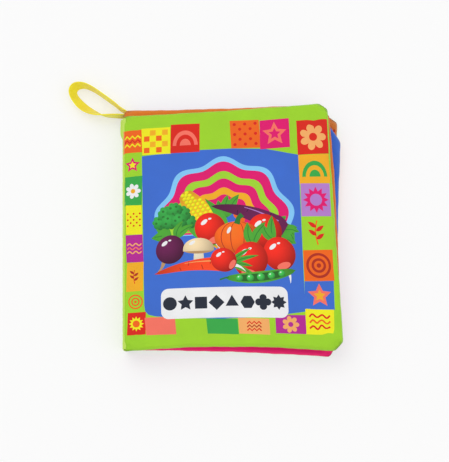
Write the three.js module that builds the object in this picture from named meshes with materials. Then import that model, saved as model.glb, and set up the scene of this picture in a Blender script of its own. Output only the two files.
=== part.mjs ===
import * as THREE from "three";

// A small crinkle cloth book, closed and lying on its back cover: four padded leaves in a soft spine.
// Millimetres, +Z up. The spine runs along Y on the -X side, and the head of the pages is at +Y.
// Geometry is drawn from the spine at x = 0. The flat underside of the back cover is at z = 0.
// Each leaf is two cloth panels that meet at the edge seam, with a sheet of crumpled film and a sheet
// of wadding between them.

// Driving sizes of the leaves
const pageWidth = 105.5;
const pageHeight = 122;
const leafThickness = 3.4;
const flatCutDepth = 0.5;
const clothThickness = 0.45;
const filmThickness = 0.2;
const clearance = 0.3;

// Driving sizes of the spine
const spineClothThickness = 0.5;
const spineLipReach = 1.5;
const spineCornerRadius = 1.2;
const spineRimRise = 0.98;
const spineEndInset = 1.2;
const stitchPitch = 3.4;
const stitchWidth = 0.4;
const stitchInset = 6;

// Driving sizes of the ribbon loop
const loopLength = 31;
const ribbonWidth = 7;
const ribbonThickness = 0.8;
const tableGap = 0.2;

// Counts
const leafCount = 4;
const acrossSteps = 12;
const alongSteps = 14;
const fillAcrossSteps = 9;
const fillAlongSteps = 11;
const cornerSteps = 4;
const loopSteps = 26;

// How a leaf swells, and how fast the cut of a corner fades towards its middle
const crownExponent = 0.27;
const cutFadeExponent = 6;

// How far the filling reaches, and how thin a thread is where it dips
const fillReachShare = 0.88;
const fillCornerShare = 0.2;
const dipShare = 0.4;

// Outline of each leaf, from the back cover up. Widths and cuts across are shares of pageWidth, the rest
// of pageHeight: how far each edge reaches, how far it bows, and what is cut off the two free corners.
const leafOutlineShares = [
  {
    headWidth: 1.045, footWidth: 0.974, sideBow: 0,
    headSpine: 0.492, headFree: 0.5, headBow: 0, headCut: { across: 0.069, along: 0.045 },
    footSpine: -0.49, footFree: -0.535, footBow: 0.008, footCut: { across: 0.018, along: 0.024 },
  },
  {
    headWidth: 1.062, footWidth: 0.985, sideBow: -0.005,
    headSpine: 0.49, headFree: 0.482, headBow: 0, headCut: { across: 0.09, along: 0.125 },
    footSpine: -0.488, footFree: -0.505, footBow: 0.021, footCut: { across: 0.03, along: 0.03 },
  },
  {
    headWidth: 0.995, footWidth: 0.996, sideBow: 0.016,
    headSpine: 0.507, headFree: 0.517, headBow: -0.005, headCut: { across: 0.075, along: 0.05 },
    footSpine: -0.497, footFree: -0.512, footBow: 0.021, footCut: { across: 0.03, along: 0.03 },
  },
  {
    headWidth: 0.986, footWidth: 1.014, sideBow: -0.002,
    headSpine: 0.472, headFree: 0.512, headBow: -0.005, headCut: { across: 0.04, along: 0.027 },
    footSpine: -0.503, footFree: -0.524, footBow: 0.021, footCut: { across: 0.043, along: 0.04 },
  },
];
const spineCutShares = { across: 0.01, along: 0.009 };

// Route of the ribbon loop, from one tail to the other, and how far the ribbon's upper edge leans
// outwards there. Along and aside are shares of loopLength from the point where it leaves the spine.
const loopRootShares = { y: 0.492 };
const loopRouteShares = [
  { x: 0.075, y: 0.06, lean: 0 },
  { x: -0.06, y: 0.15, lean: 0 },
  { x: -0.18, y: 0.255, lean: 0.02 },
  { x: -0.37, y: 0.402, lean: 0.03 },
  { x: -0.525, y: 0.512, lean: 0.05 },
  { x: -0.65, y: 0.572, lean: 0.1 },
  { x: -0.755, y: 0.58, lean: 0.22 },
  { x: -0.83, y: 0.545, lean: 0.38 },
  { x: -0.86, y: 0.47, lean: 0.5 },
  { x: -0.825, y: 0.37, lean: 0.62 },
  { x: -0.73, y: 0.25, lean: 0.75 },
  { x: -0.625, y: 0.163, lean: 0.72 },
  { x: -0.48, y: 0.088, lean: 0.5 },
  { x: -0.335, y: 0.045, lean: 0.2 },
  { x: -0.17, y: 0.033, lean: 0.06 },
  { x: 0.075, y: 0.015, lean: 0 },
];

// Sizes that follow
const leafPitch = leafThickness + clearance;
const leafStart = spineClothThickness + clearance + clearance;
const rimHeight = clearance / 2 + clothThickness;
const crownHeight = leafThickness / 2 - rimHeight;

const lime = 0xa3d63c;
const orange = 0xd98b35;
const blue = 0x2f5bbd;
const magenta = 0xdc2358;
const yellow = 0xf2dc1e;
const filmWhite = 0xe6ebee;
const waddingWhite = 0xf6f5ef;

function material(color, roughness) {
  return new THREE.MeshStandardMaterial({ color, roughness, metalness: 0 });
}

function mix(from, to, share) {
  return from + (to - from) * share;
}

function midHeight(leaf) {
  return leafThickness / 2 + leaf * leafPitch;
}

// How near a place comes to the middle of its leaf, so that a corner is cut off straight.
function nearness(cut, a, b) {
  const across = Math.abs(a) / (2 * cut.across);
  const along = Math.abs(b) / (2 * cut.along);
  const reach = Math.max(Math.abs(a), Math.abs(b));
  const cornerLine = (1 / cut.across + 1 / cut.along) / 2 - 1;
  const inside = reach > 0 ? Math.min(1, (cornerLine * reach) / (across + along)) : 1;
  return mix(1, inside, Math.pow(reach, cutFadeExponent));
}

// a runs from the spine (-1) to the free edge (1), b from the foot (-1) to the head (1).
function leafPoint(leaf, a, b) {
  const shares = leafOutlineShares[leaf];
  const freeCut = b > 0 ? shares.headCut : shares.footCut;
  const near = nearness(a > 0 ? freeCut : spineCutShares, a, b);
  const s = (a * near + 1) / 2;
  const t = (b * near + 1) / 2;
  const bowed = (from, to, bow, share) => mix(from, to, share) + 4 * bow * share * (1 - share);
  const width = pageWidth * bowed(shares.footWidth, shares.headWidth, shares.sideBow, t);
  const head = pageHeight * bowed(shares.headSpine, shares.headFree, shares.headBow, s);
  const foot = pageHeight * bowed(shares.footSpine, shares.footFree, shares.footBow, s);
  return [mix(leafStart, width, s), mix(foot, head, t)];
}

// How full the leaf is there: 0 at the edge seam and 1 in the middle.
function fullness(a, b) {
  return Math.pow((1 - a * a) * (1 - b * b), crownExponent);
}

// Inner face of a panel, as a height over the middle of the leaf.
function roomAt(a, b) {
  return clearance / 2 + crownHeight * fullness(a, b);
}

function spread(step, steps) {
  return Math.sin((step / steps - 1 / 2) * Math.PI);
}

// A closed body between two skins over the same grid. top and bottom give a point for each place.
function skinGeometry(across, along, top, bottom) {
  const points = [];
  const faces = [];
  const rowLength = along + 1;
  const skinSize = (across + 1) * rowLength;
  for (const skin of [top, bottom]) {
    for (let i = 0; i <= across; i += 1) {
      for (let j = 0; j <= along; j += 1) {
        points.push(...skin(i, j));
      }
    }
  }
  for (let i = 0; i < across; i += 1) {
    for (let j = 0; j < along; j += 1) {
      const p = i * rowLength + j;
      const q = p + rowLength;
      const r = p + skinSize;
      const s = q + skinSize;
      faces.push(p, q, q + 1, p, q + 1, p + 1);
      faces.push(r, s + 1, s, r, r + 1, s + 1);
    }
  }
  const rim = [];
  for (let i = 0; i < across; i += 1) rim.push(i * rowLength);
  for (let j = 0; j < along; j += 1) rim.push(across * rowLength + j);
  for (let i = across; i > 0; i -= 1) rim.push(i * rowLength + along);
  for (let j = along; j > 0; j -= 1) rim.push(j);
  rim.forEach((p, k) => {
    const q = rim[(k + 1) % rim.length];
    faces.push(p, skinSize + p, skinSize + q, p, skinSize + q, q);
  });
  const geometry = new THREE.BufferGeometry();
  geometry.setAttribute("position", new THREE.Float32BufferAttribute(points, 3));
  geometry.setIndex(faces);
  geometry.computeVertexNormals();
  return geometry;
}

// One cloth panel of a leaf. The lowest one is pressed flat by the weight that it carries.
function panelGeometry(leaf, upper) {
  const lowest = leaf === 0 && !upper;
  const panelCrown = lowest ? crownHeight + flatCutDepth : crownHeight;
  const middle = midHeight(leaf);
  const place = (i, j, added) => {
    const a = spread(i, acrossSteps);
    const b = spread(j, alongSteps);
    const [x, y] = leafPoint(leaf, a, b);
    const inner = Math.min(clearance / 2 + panelCrown * fullness(a, b), leafThickness / 2 - clothThickness);
    const height = inner + added;
    return [x, y, upper ? middle + height : middle - height];
  };
  const outerSkin = (i, j) => place(i, j, clothThickness);
  const innerSkin = (i, j) => place(i, j, 0);
  return upper
    ? skinGeometry(acrossSteps, alongSteps, outerSkin, innerSkin)
    : skinGeometry(acrossSteps, alongSteps, innerSkin, outerSkin);
}

// Place inside a leaf for its filling, which stops short of the edge seam and of the corners.
function fillPlace(leaf, i, j) {
  const p = (2 * i) / fillAcrossSteps - 1;
  const q = (2 * j) / fillAlongSteps - 1;
  const reach = fillReachShare * (1 - fillCornerShare * p * p * q * q);
  const [x, y] = leafPoint(leaf, p * reach, q * reach);
  return { x, y, room: roomAt(p * reach, q * reach) };
}

// Crumple of the film from -1 to 1: flat facets between creases, another pattern in each leaf.
function crumple(leaf, i, j) {
  const mixed = Math.sin(i * 12.9898 + j * 78.233 + leaf * 37.719) * 43758.5453;
  return 2 * (mixed - Math.floor(mixed)) - 1;
}

function filmGeometry(leaf) {
  const place = (i, j, side) => {
    const { x, y, room } = fillPlace(leaf, i, j);
    const play = Math.max(0, (room - filmThickness) / 2 - clearance);
    const height = room / 2 + clearance / 4 + play * crumple(leaf, i, j) + (side * filmThickness) / 2;
    return [x, y, midHeight(leaf) + height];
  };
  return skinGeometry(fillAcrossSteps, fillAlongSteps, (i, j) => place(i, j, 1), (i, j) => place(i, j, -1));
}

function waddingGeometry(leaf) {
  const place = (i, j, full) => {
    const { x, y, room } = fillPlace(leaf, i, j);
    return [x, y, midHeight(leaf) - full * (room - clearance)];
  };
  return skinGeometry(fillAcrossSteps, fillAlongSteps, (i, j) => place(i, j, 0), (i, j) => place(i, j, 1));
}

// The cloth that wraps round the spine and laps over both covers.
function spineClothGeometry() {
  const low = midHeight(0) - spineRimRise - spineClothThickness;
  const high = midHeight(leafCount - 1) + spineRimRise + spineClothThickness;
  const shape = new THREE.Shape();
  const radius = spineCornerRadius;
  const inside = radius - spineClothThickness;
  shape.moveTo(spineLipReach, low);
  shape.lineTo(spineLipReach, low + spineClothThickness);
  shape.lineTo(radius, low + spineClothThickness);
  shape.absarc(radius, low + radius, inside, -Math.PI / 2, -Math.PI, true);
  shape.lineTo(spineClothThickness, high - radius);
  shape.absarc(radius, high - radius, inside, Math.PI, Math.PI / 2, true);
  shape.lineTo(spineLipReach, high - spineClothThickness);
  shape.lineTo(spineLipReach, high);
  shape.lineTo(radius, high);
  shape.absarc(radius, high - radius, radius, Math.PI / 2, Math.PI, false);
  shape.lineTo(0, low + radius);
  shape.absarc(radius, low + radius, radius, Math.PI, (3 * Math.PI) / 2, false);
  const shares = leafOutlineShares[leafCount - 1];
  const head = pageHeight * shares.headSpine - spineEndInset;
  const foot = pageHeight * shares.footSpine + spineEndInset;
  const settings = { depth: head - foot, bevelEnabled: false, curveSegments: cornerSteps };
  const geometry = new THREE.ExtrudeGeometry(shape, settings);
  geometry.rotateX(Math.PI / 2);
  geometry.translate(0, head, 0);
  return geometry;
}

// The seam beside the lip of the spine cloth: one thread, thick along each stitch and thin where it dips.
function seamGeometry(upper) {
  const leaf = upper ? leafCount - 1 : 0;
  const shares = leafOutlineShares[leafCount - 1];
  const foot = pageHeight * shares.footSpine + stitchInset;
  const run = pageHeight * (shares.headSpine - shares.footSpine) - 2 * stitchInset;
  const count = Math.floor(run / stitchPitch);
  const x = spineLipReach + clearance + stitchWidth / 2;
  const rise = spineRimRise + clearance + stitchWidth / 2;
  const z = upper ? midHeight(leaf) + rise : midHeight(leaf) - rise;
  const points = [];
  for (let k = 0; k <= 2 * count; k += 1) {
    const y = foot + (k * run) / (2 * count);
    const half = (stitchWidth / 2) * (k % 2 === 0 ? dipShare : 1);
    points.push([x + half, y, z], [x, y, z + half], [x - half, y, z], [x, y, z - half]);
  }
  return barGeometry(points);
}

// A closed bar through rings of four corners, which run clockwise as seen from its start.
function barGeometry(corners) {
  const faces = [];
  const last = corners.length - 4;
  for (let ring = 0; ring < last; ring += 4) {
    for (let side = 0; side < 4; side += 1) {
      const p = ring + side;
      const q = ring + ((side + 1) % 4);
      faces.push(p, q + 4, q, p, p + 4, q + 4);
    }
  }
  faces.push(0, 1, 2, 0, 2, 3, last, last + 2, last + 1, last, last + 3, last + 2);
  const geometry = new THREE.BufferGeometry();
  geometry.setAttribute("position", new THREE.Float32BufferAttribute(corners.flat(), 3));
  geometry.setIndex(faces);
  return geometry;
}

// The ribbon stands on one edge. Its width leans inwards and outwards along the route.
function loopGeometry() {
  const rootY = pageHeight * loopRootShares.y;
  const stations = loopRouteShares.map(
    (s) => new THREE.Vector3(loopLength * s.x, rootY + loopLength * s.y, 0),
  );
  const leans = loopRouteShares.map((s) => new THREE.Vector3(s.lean, 0, 0));
  const route = new THREE.CatmullRomCurve3(stations, false, "centripetal");
  const leaning = new THREE.CatmullRomCurve3(leans);
  const corners = [];
  for (let k = 0; k <= loopSteps; k += 1) {
    const middle = route.getPoint(k / loopSteps);
    const tangent = route.getTangent(k / loopSteps);
    const outward = new THREE.Vector3(tangent.y, -tangent.x, 0).normalize();
    const lean = leaning.getPoint(k / loopSteps).x;
    const up = new THREE.Vector3(0, 0, Math.cos(lean)).addScaledVector(outward, Math.sin(lean));
    const side = new THREE.Vector3(0, 0, -Math.sin(lean)).addScaledVector(outward, Math.cos(lean));
    middle.z = tableGap + (ribbonWidth * Math.abs(up.z) + ribbonThickness * Math.abs(side.z)) / 2;
    for (const [across, through] of [[1, 1], [1, -1], [-1, -1], [-1, 1]]) {
      const corner = middle.clone();
      corner.addScaledVector(up, (across * ribbonWidth) / 2);
      corner.addScaledVector(side, (through * ribbonThickness) / 2);
      corners.push([corner.x, corner.y, corner.z]);
    }
  }
  return barGeometry(corners);
}

// The whole book is placed so that the middle of its underside lies at the origin.
const book = new THREE.Group();
book.name = "crinkle_cloth_book";
book.position.x = -pageWidth / 2;

function add(name, geometry, color, roughness) {
  const mesh = new THREE.Mesh(geometry, material(color, roughness));
  mesh.name = name;
  book.add(mesh);
}

const leafNames = ["back_cover", "leaf_b", "leaf_a", "front_cover"];
const upperColors = [magenta, blue, orange, lime];
const lowerColors = [lime, magenta, blue, orange];

leafNames.forEach((name, leaf) => {
  add(`${name}_upper_cloth`, panelGeometry(leaf, true), upperColors[leaf], 0.85);
  add(`${name}_lower_cloth`, panelGeometry(leaf, false), lowerColors[leaf], 0.85);
  add(`${name}_crinkle_film`, filmGeometry(leaf), filmWhite, 0.3);
  add(`${name}_wadding`, waddingGeometry(leaf), waddingWhite, 0.95);
});
add("spine_cloth", spineClothGeometry(), lime, 0.85);
add("front_seam_thread", seamGeometry(true), lime, 0.7);
add("back_seam_thread", seamGeometry(false), lime, 0.7);
add("hanging_loop", loopGeometry(), yellow, 0.6);

export default book;
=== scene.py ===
"""A crinkle cloth book for babies, dressed for rendering: padded printed leaves, sewn spine, ribbon loop."""

import itertools
import math

import bmesh
import bpy
import numpy as np
from mathutils import Matrix, Vector
from mathutils.geometry import delaunay_2d_cdt


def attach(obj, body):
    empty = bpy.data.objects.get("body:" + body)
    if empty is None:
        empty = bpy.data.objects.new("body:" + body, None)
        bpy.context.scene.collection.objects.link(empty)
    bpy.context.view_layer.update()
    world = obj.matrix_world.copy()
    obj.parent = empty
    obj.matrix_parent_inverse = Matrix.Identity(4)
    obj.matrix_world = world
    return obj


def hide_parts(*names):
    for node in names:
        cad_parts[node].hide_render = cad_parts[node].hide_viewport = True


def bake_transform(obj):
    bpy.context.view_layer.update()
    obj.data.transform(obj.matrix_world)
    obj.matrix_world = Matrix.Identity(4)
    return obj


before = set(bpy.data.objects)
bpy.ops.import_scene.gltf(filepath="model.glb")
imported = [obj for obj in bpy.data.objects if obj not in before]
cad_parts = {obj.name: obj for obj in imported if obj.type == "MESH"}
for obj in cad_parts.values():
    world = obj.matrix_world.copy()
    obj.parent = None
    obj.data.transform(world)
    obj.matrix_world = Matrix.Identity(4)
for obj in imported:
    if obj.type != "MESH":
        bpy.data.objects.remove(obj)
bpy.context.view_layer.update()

bl_info = {
    "name": "Crinkle cloth book",
    "version": (1, 0, 0),
    "blender": (4, 5, 0),
    "location": "3D View > Sidebar > Cloth book",
    "description": "Builds the padded leaves, the spine, the ribbon loop and the stage of a cloth book",
    "category": "Object",
}

MM = 0.001


def linear(red, green, blue):
    """A colour given as eight-bit screen values, as the linear values that materials use."""
    shares = np.array([red, green, blue]) / 255
    return tuple(np.where(shares <= 0.04045, shares / 12.92, ((shares + 0.055) / 1.055) ** 2.4).tolist())


def opaque(red, green, blue):
    """The same colour with the fourth value that shader sockets take."""
    return linear(red, green, blue) + (1,)


# Sizes and colours that a user would change


def length_property(name, description, default):
    return bpy.props.FloatProperty(name=name, description=description, default=default, unit="LENGTH")


class BookSizes(bpy.types.PropertyGroup):
    page_width: length_property("Page width", "From the spine to the free edge", 105.5 * MM)
    page_height: length_property("Page height", "From foot to head at the spine", 122 * MM)
    leaf_thickness: length_property("Leaf thickness", "Of one padded leaf at its crown", 3.4 * MM)
    leaf_gap: length_property("Leaf gap", "Between the crowns of two leaves", 0.3 * MM)
    weave_pitch: length_property("Weave pitch", "Width of two yarns of the cloth", 0.5 * MM)
    ribbon_width: length_property("Ribbon width", "Of the hanging loop", 7 * MM)


def colour_property(name, description, red, green, blue):
    return bpy.props.FloatVectorProperty(
        name=name, description=description, default=linear(red, green, blue),
        subtype="COLOR", size=3, min=0, max=1,
    )


class BookColours(bpy.types.PropertyGroup):
    cover: colour_property("Cover", "Ground of both covers", 160, 216, 44)
    # The spine's ground is a paler lime; part of its lightness is a painted highlight along the spine edge,
    # offsetting the shade where the lap turns down.
    spine: colour_property("Spine", "Ground of the cloth round the spine, a little paler", 198, 230, 98)
    orange: colour_property("Orange pages", "Ground of the first spread", 226, 124, 38)
    blue: colour_property("Blue pages", "Ground of the middle spread and the cover's panel", 62, 110, 208)
    magenta: colour_property("Magenta pages", "Ground of the last spread", 250, 28, 112)
    ribbon: colour_property("Ribbon", "The hanging loop", 255, 246, 26)


# Colours of the printed motifs
INK = {
    "lime": linear(163, 217, 52),
    "green": linear(58, 172, 74),
    "forest": linear(44, 122, 50),
    "blue": linear(62, 110, 208),
    "sky": linear(134, 203, 250),
    "violet": linear(184, 40, 150),
    "lilac": linear(184, 128, 206),
    "magenta": linear(228, 20, 112),
    "red": linear(222, 38, 24),
    "brick": linear(176, 48, 30),
    "orange": linear(244, 104, 26),
    "vermilion": linear(226, 66, 28),
    "gold": linear(246, 178, 36),
    "yellow": linear(244, 238, 30),
    "peach": linear(248, 176, 104),
    "salmon": linear(250, 118, 100),
    "white": linear(244, 244, 246),
    "navy": linear(36, 42, 56),
    "beet": linear(94, 24, 72),
    "plum": linear(58, 22, 60),
    "cream": linear(232, 208, 166),
    "ivory": linear(240, 230, 206),
    "rust": linear(208, 120, 48),
    "tan": linear(190, 150, 104),
    "leaf": linear(70, 150, 48),
    "moss": linear(40, 104, 40),
}

# The leaves from the table up
LEAVES = ("back_cover", "leaf_b", "leaf_a", "front_cover")
TOP_LEAF = len(LEAVES) - 1

# Outline of each leaf, as in the solids, from the back cover up. Widths are in page widths and the rest in
# page heights: how far each edge reaches, how far it bows out or in, and what is cut off the free corners.
LEAF_SHARES = (
    {"head_width": 1.045, "foot_width": 0.974, "side_bow": 0.0,
     "head_spine": 0.492, "head_free": 0.5, "head_bow": 0.0, "head_cut": (0.069, 0.045),
     "foot_spine": -0.49, "foot_free": -0.535, "foot_bow": 0.008, "foot_cut": (0.018, 0.024)},
    {"head_width": 1.062, "foot_width": 0.985, "side_bow": -0.005,
     "head_spine": 0.49, "head_free": 0.482, "head_bow": 0.0, "head_cut": (0.09, 0.125),
     "foot_spine": -0.488, "foot_free": -0.505, "foot_bow": 0.021, "foot_cut": (0.03, 0.03)},
    {"head_width": 0.995, "foot_width": 0.996, "side_bow": 0.016,
     "head_spine": 0.507, "head_free": 0.517, "head_bow": -0.005, "head_cut": (0.075, 0.05),
     "foot_spine": -0.497, "foot_free": -0.512, "foot_bow": 0.021, "foot_cut": (0.03, 0.03)},
    {"head_width": 0.986, "foot_width": 1.014, "side_bow": -0.002,
     "head_spine": 0.472, "head_free": 0.512, "head_bow": -0.005, "head_cut": (0.04, 0.027),
     "foot_spine": -0.503, "foot_free": -0.524, "foot_bow": 0.021, "foot_cut": (0.043, 0.04)},
)

# What is cut off the corners at the spine, how fast a cut fades towards the middle of a leaf, how rounded it
# is, the share of the reach that it is rounded from, and where the leaves start beside the spine
SPINE_CUT = (0.01, 0.009)
CUT_FADE = 6
CUT_ROUNDING = 0.005
CUT_LEVEL = 0.9
LEAF_START = 0.55 * MM

# Cloth round the spine: its thickness, how far its face is set in, how far it laps over a cover, how far it
# rises over the seam of a cover, the bend between, and how far it stops short of foot and head
SPINE_CLOTH = 0.35 * MM
SPINE_INSET = 0.15 * MM
SPINE_LIP = 1.5 * MM
SPINE_RISE = 0.8 * MM
SPINE_RADIUS = 1.05 * MM
SPINE_END = 1.2 * MM

# Faces along the spine and down each fold, and steps round the bend
SPINE_ROWS = 90
FOLD_ROWS = 14
BEND_STEPS = 6

# How the edge of a lap turns down: steps across, and how far each goes down
LAP_TURN = ((SPINE_LIP - SPINE_INSET - SPINE_RADIUS, 0.06 * MM), (0.3 * MM, 0.22 * MM), (0.16 * MM, 0.3 * MM))

# Where a lap reads the height of its pad, where the print starts on the front lap, and how much of its ink
# shows there under the pale wash that paints a highlight along the spine edge
LAP_PROBE = 4 * MM
LAP_PRINT_START = 0.6 * MM
LAP_INK_UNDER_HIGHLIGHT = 0.75

# Small puckers of the spine cloth: depth, pace for each millimetre and start
PUCKERS = ((0.04 * MM, 1.9, 0), (0.03 * MM, 0.8, 1))

# Bulge of the lower folds at the head: how far it stands out, how far below the head it starts and is full,
# the last stretch where it eases off and by what share, and how far it lifts the cloth's end
BULGE = 1.5 * MM
BULGE_START = 11 * MM
BULGE_FULL = 6 * MM
BULGE_EASE = 1.5 * MM
BULGE_LOSS = 0.25
BULGE_LIFT = 1.8 * MM

# Swell of the lower folds along the whole spine, how much it wavers, at what pace for each millimetre along
# and over the whole rise, and the share of the rise in which it starts
SWELL = 0.2 * MM
SWELL_WAVER = 0.12 * MM
SWELL_PACE = (0.23, 6)
SWELL_START = 0.2

# Between these shares of the rise from the lower to the upper seam, the lower folds give way to the flat ones
LOWER_FOLDS = (0.4, 0.54)

# One stitch, and how its ends taper: steps along, and the width after each as a share of the one before
STITCH_PITCH = 3.4 * MM
STITCH_WIDTH = 0.4 * MM
STITCH_LENGTH = 1.6 * MM
STITCH_SIDES = 10
STITCH_TAPER = ((0.3 * MM, 0.86), (0.2 * MM, 0.6), (0.1 * MM, 0.4))

# A line of stitches: how deep it sinks in, how far past the lap it runs, and where it stops before the ends
STITCH_SINK = 0.06 * MM
SEAM_OFFSET = 0.1 * MM
SEAM_MARGIN = 4.8 * MM

# Simulated pads: seed and grid, how full and how uneven the cloth starts, how much larger it is while it
# settles, for how many frames, and how large the plates are that hold it
PAD_SEED = 20
PAD_ACROSS = 40
PAD_ALONG = 46
PAD_START = 0.6
PAD_ROUGHNESS = 0.0015
PAD_SCALE = 10
PAD_FRAMES = 30
PLATE_SIZE = 4

# How full a pad is towards its rim, and how far the cloth may creep in the plane
PILLOW_POWER = 0.3
PAD_CREEP = 1.2 * MM

# How much the swelling is raised before it is capped, on the table and elsewhere, the percentile that is
# brought to the cap, and how soft the cap is, as a share of it
TABLE_RAISE = 1.3
CROWN_RAISE = 1.06
CROWN_PERCENTILE = 92
CROWN_SOFTNESS = 0.16

# Fillings: how far they reach, what their corners lack, and the share of the pad's height they may use
FILL_REACH = 0.86
FILL_CORNERS = 0.2
FILL_ROOM = 0.8

# Film: seed and grid, number of creases, width of a facet, half its thickness, how high it lies as a share of
# the room, the room that its creases leave free, and the share of the rest that they use
FILM_SEED = 60
FILM_GRID = (44, 52)
FILM_CREASES = 9
FACET_WIDTH = (9 * MM, 24 * MM)
FILM_HALF = 0.06 * MM
FILM_LEVEL = 0.55
FILM_CLEAR = 0.2 * MM
FILM_PLAY = 0.3

# Wadding: grid, how uneven its skins are, and its share of the room
WADDING_GRID = (24, 28)
TUFT = 0.04 * MM
WADDING_SHARE = 0.8

# Spacing of the printed cloth's points and of the points along a printed outline, in millimetres, and how
# near the outline the cloth's own points may come, as a share of their spacing
PRINT_PITCH = 1.25
OUTLINE_STEP = 1.1
PRINT_CLEAR = 0.36

# Points nearer than this are welded where two panels meet, or are picked as one row
WELD = 0.001 * MM

# Steps in which the uneven spacing of a pad's grid is read back, and the least share of the plain form's
# height that the simulated cloth keeps
SPACING_STEPS = 801
LEAST_SWELL = 0.35

# A place this near to the edge of a page or of the print lies on it
ON_EDGE = 1e-5

# Wander of the edge seams: radians for each half of a page, how far it goes in millimetres, how much of it is
# left at the spine, and how fast it fades away from the rim and towards the corners
SEAM_WAVES = ((9.3, 0.08), (23.1, 0.06), (51.9, 0.04))
SPINE_WANDER = 0.15
RIM_FADE = 9
CORNER_FADE = 8

# How fast the cloth's own creep fades towards the rim
CREEP_FADE = 16

# Shading of a printed shape: how far out it still changes, in reaches, its curve, and the darkest it gets
SHADE_END = 1.2
SHADE_CURVE = 1.6
SHADE_DARKEST = 0.2


def sizes():
    return bpy.context.scene.book_sizes


def colours():
    return bpy.context.scene.book_colours


def leaf_middle(leaf):
    """Height of the edge seam of a leaf over the table."""
    s = sizes()
    return s.leaf_thickness / 2 + leaf * (s.leaf_thickness + s.leaf_gap)


def drawn_in(cut, a, b):
    """How near a place comes to the middle of its leaf, so that the corner is cut off."""
    across, along = 2 * cut[0], 2 * cut[1]
    reach = np.maximum(np.maximum(np.abs(a), np.abs(b)), 1e-9)
    limit = (1 / across + 1 / along - 1) * reach / (np.abs(a) / across + np.abs(b) / along)
    ends = (np.exp((CUT_LEVEL - end) / CUT_ROUNDING) for end in (1, limit))
    rounded = CUT_LEVEL - CUT_ROUNDING * np.log(sum(ends))
    return 1 - (1 - np.minimum(1, rounded)) * reach ** CUT_FADE


def leaf_outline(leaf, a, b):
    """Place on a leaf: a from the spine (-1) to the free edge (1), b from foot (-1) to head (1)."""
    s = sizes()
    shares = LEAF_SHARES[leaf]
    free = np.where(b > 0, drawn_in(shares["head_cut"], a, b), drawn_in(shares["foot_cut"], a, b))
    nearness = np.where(a > 0, free, drawn_in(SPINE_CUT, a, b))
    u = (a * nearness + 1) / 2
    v = (b * nearness + 1) / 2

    def edge(first, last, bow, t):
        return shares[first] + (shares[last] - shares[first]) * t + 4 * shares[bow] * t * (1 - t)

    width = s.page_width * edge("foot_width", "head_width", "side_bow", v)
    head = s.page_height * edge("head_spine", "head_free", "head_bow", u)
    foot = s.page_height * edge("foot_spine", "foot_free", "foot_bow", u)
    return LEAF_START + (width - LEAF_START) * u - s.page_width / 2, foot + (head - foot) * v


# Shapes of the print, in millimetres from the spine and from the middle of the page


def turned(points, x, y, turn=0.0, size=1.0):
    points = np.asarray(points, float) * size
    c, s = math.cos(turn), math.sin(turn)
    across = x + points[:, 0] * c - points[:, 1] * s
    along = y + points[:, 0] * s + points[:, 1] * c
    return np.stack([across, along], axis=1)


def round_shape(x, y, angle, rx, ry, turn=0.0):
    """Points at the given angles, at a reach along the shape and one across it."""
    return turned(np.stack([rx * np.cos(angle), ry * np.sin(angle)], axis=1), x, y, turn)


def even_angles(corners):
    return np.arange(corners) * 2 * math.pi / corners


def disc(x, y, rx, ry=None, turn=0.0, corners=None):
    ry = rx if ry is None else ry
    corners = corners or int(np.clip(14 + 3.2 * max(rx, ry), 12, 64))
    return round_shape(x, y, even_angles(corners), rx, ry, turn)


def box(x0, y0, x1, y1):
    return np.array([(x0, y0), (x1, y0), (x1, y1), (x0, y1)], float)


def soft_box(x0, y0, x1, y1, radius):
    points = []
    for x, y, first in ((x1 - radius, y0 + radius, -90), (x1 - radius, y1 - radius, 0),
                        (x0 + radius, y1 - radius, 90), (x0 + radius, y0 + radius, 180)):
        for step in range(8):
            angle = math.radians(first + step * 90 / 7)
            points.append((x + radius * math.cos(angle), y + radius * math.sin(angle)))
    return np.array(points)


def star(x, y, radius, inner, points=5):
    reach = np.where(np.arange(2 * points) % 2 == 0, radius, radius * inner)
    return round_shape(x, y, even_angles(2 * points), reach, reach, math.pi / 2)


def scallop(x, y, radius, lobes, depth, turn=0.0, corners=96):
    angle = even_angles(corners)
    reach = radius * (1 - depth + depth * np.abs(np.cos(lobes * angle / 2)) ** 0.7)
    return round_shape(x, y, angle, reach, reach, turn)


def band(line, widths):
    """A strip along a line, as wide as said at each point."""
    line = np.asarray(line, float)
    widths = np.broadcast_to(np.asarray(widths, float), (len(line),))
    way = np.gradient(line, axis=0)
    way /= np.maximum(np.linalg.norm(way, axis=1, keepdims=True), 1e-9)
    side = np.stack([-way[:, 1], way[:, 0]], axis=1) * widths[:, None] / 2
    return np.concatenate([line - side, (line + side)[::-1]])


def curve_line(length, bend, steps=14):
    """A line from the origin along X that bows to one side."""
    t = np.linspace(0, 1, steps)
    return np.stack([t * length, bend * np.sin(t * math.pi)], axis=1)


def blade(x, y, length, width, turn, bend=0.0):
    """A leaf blade, widest nearer its foot."""
    line = curve_line(length, bend)
    t = np.linspace(0, 1, len(line))
    across = width * np.sin(math.pi * t ** 0.8) ** 0.9 + 0.02
    return turned(band(line, across), x, y, turn)


class Sheet:
    """A page's print: a ground colour and flat shapes, each lying over the ones before it."""

    def __init__(self, ground):
        self.ground = np.array(ground, float)
        self.points = []
        self.inks = []
        self.shades = []

    def add(self, points, ink, shade=None):
        """shade is a middle, a reach, and how much lighter the middle and darker the rim is."""
        points = np.asarray(points, float)
        after = np.roll(points, -1, axis=0)
        twice_area = np.sum(points[:, 0] * after[:, 1] - points[:, 1] * after[:, 0])
        self.points.append(points if twice_area > 0 else points[::-1])
        self.inks.append(np.array(INK[ink] if isinstance(ink, str) else ink, float))
        self.shades.append(shade)

    def ball(self, x, y, rx, ry, ink, turn, light, dark):
        """A round thing that is lit from the upper left."""
        middle = (x - 0.3 * rx, y + 0.35 * ry)
        self.add(disc(x, y, rx, ry, turn), ink, (middle, 1.35 * max(rx, ry), light, dark))

    def glint(self, x, y, rx, ry, turn):
        self.add(disc(x, y, rx, ry, turn, 14), "white")


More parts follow.
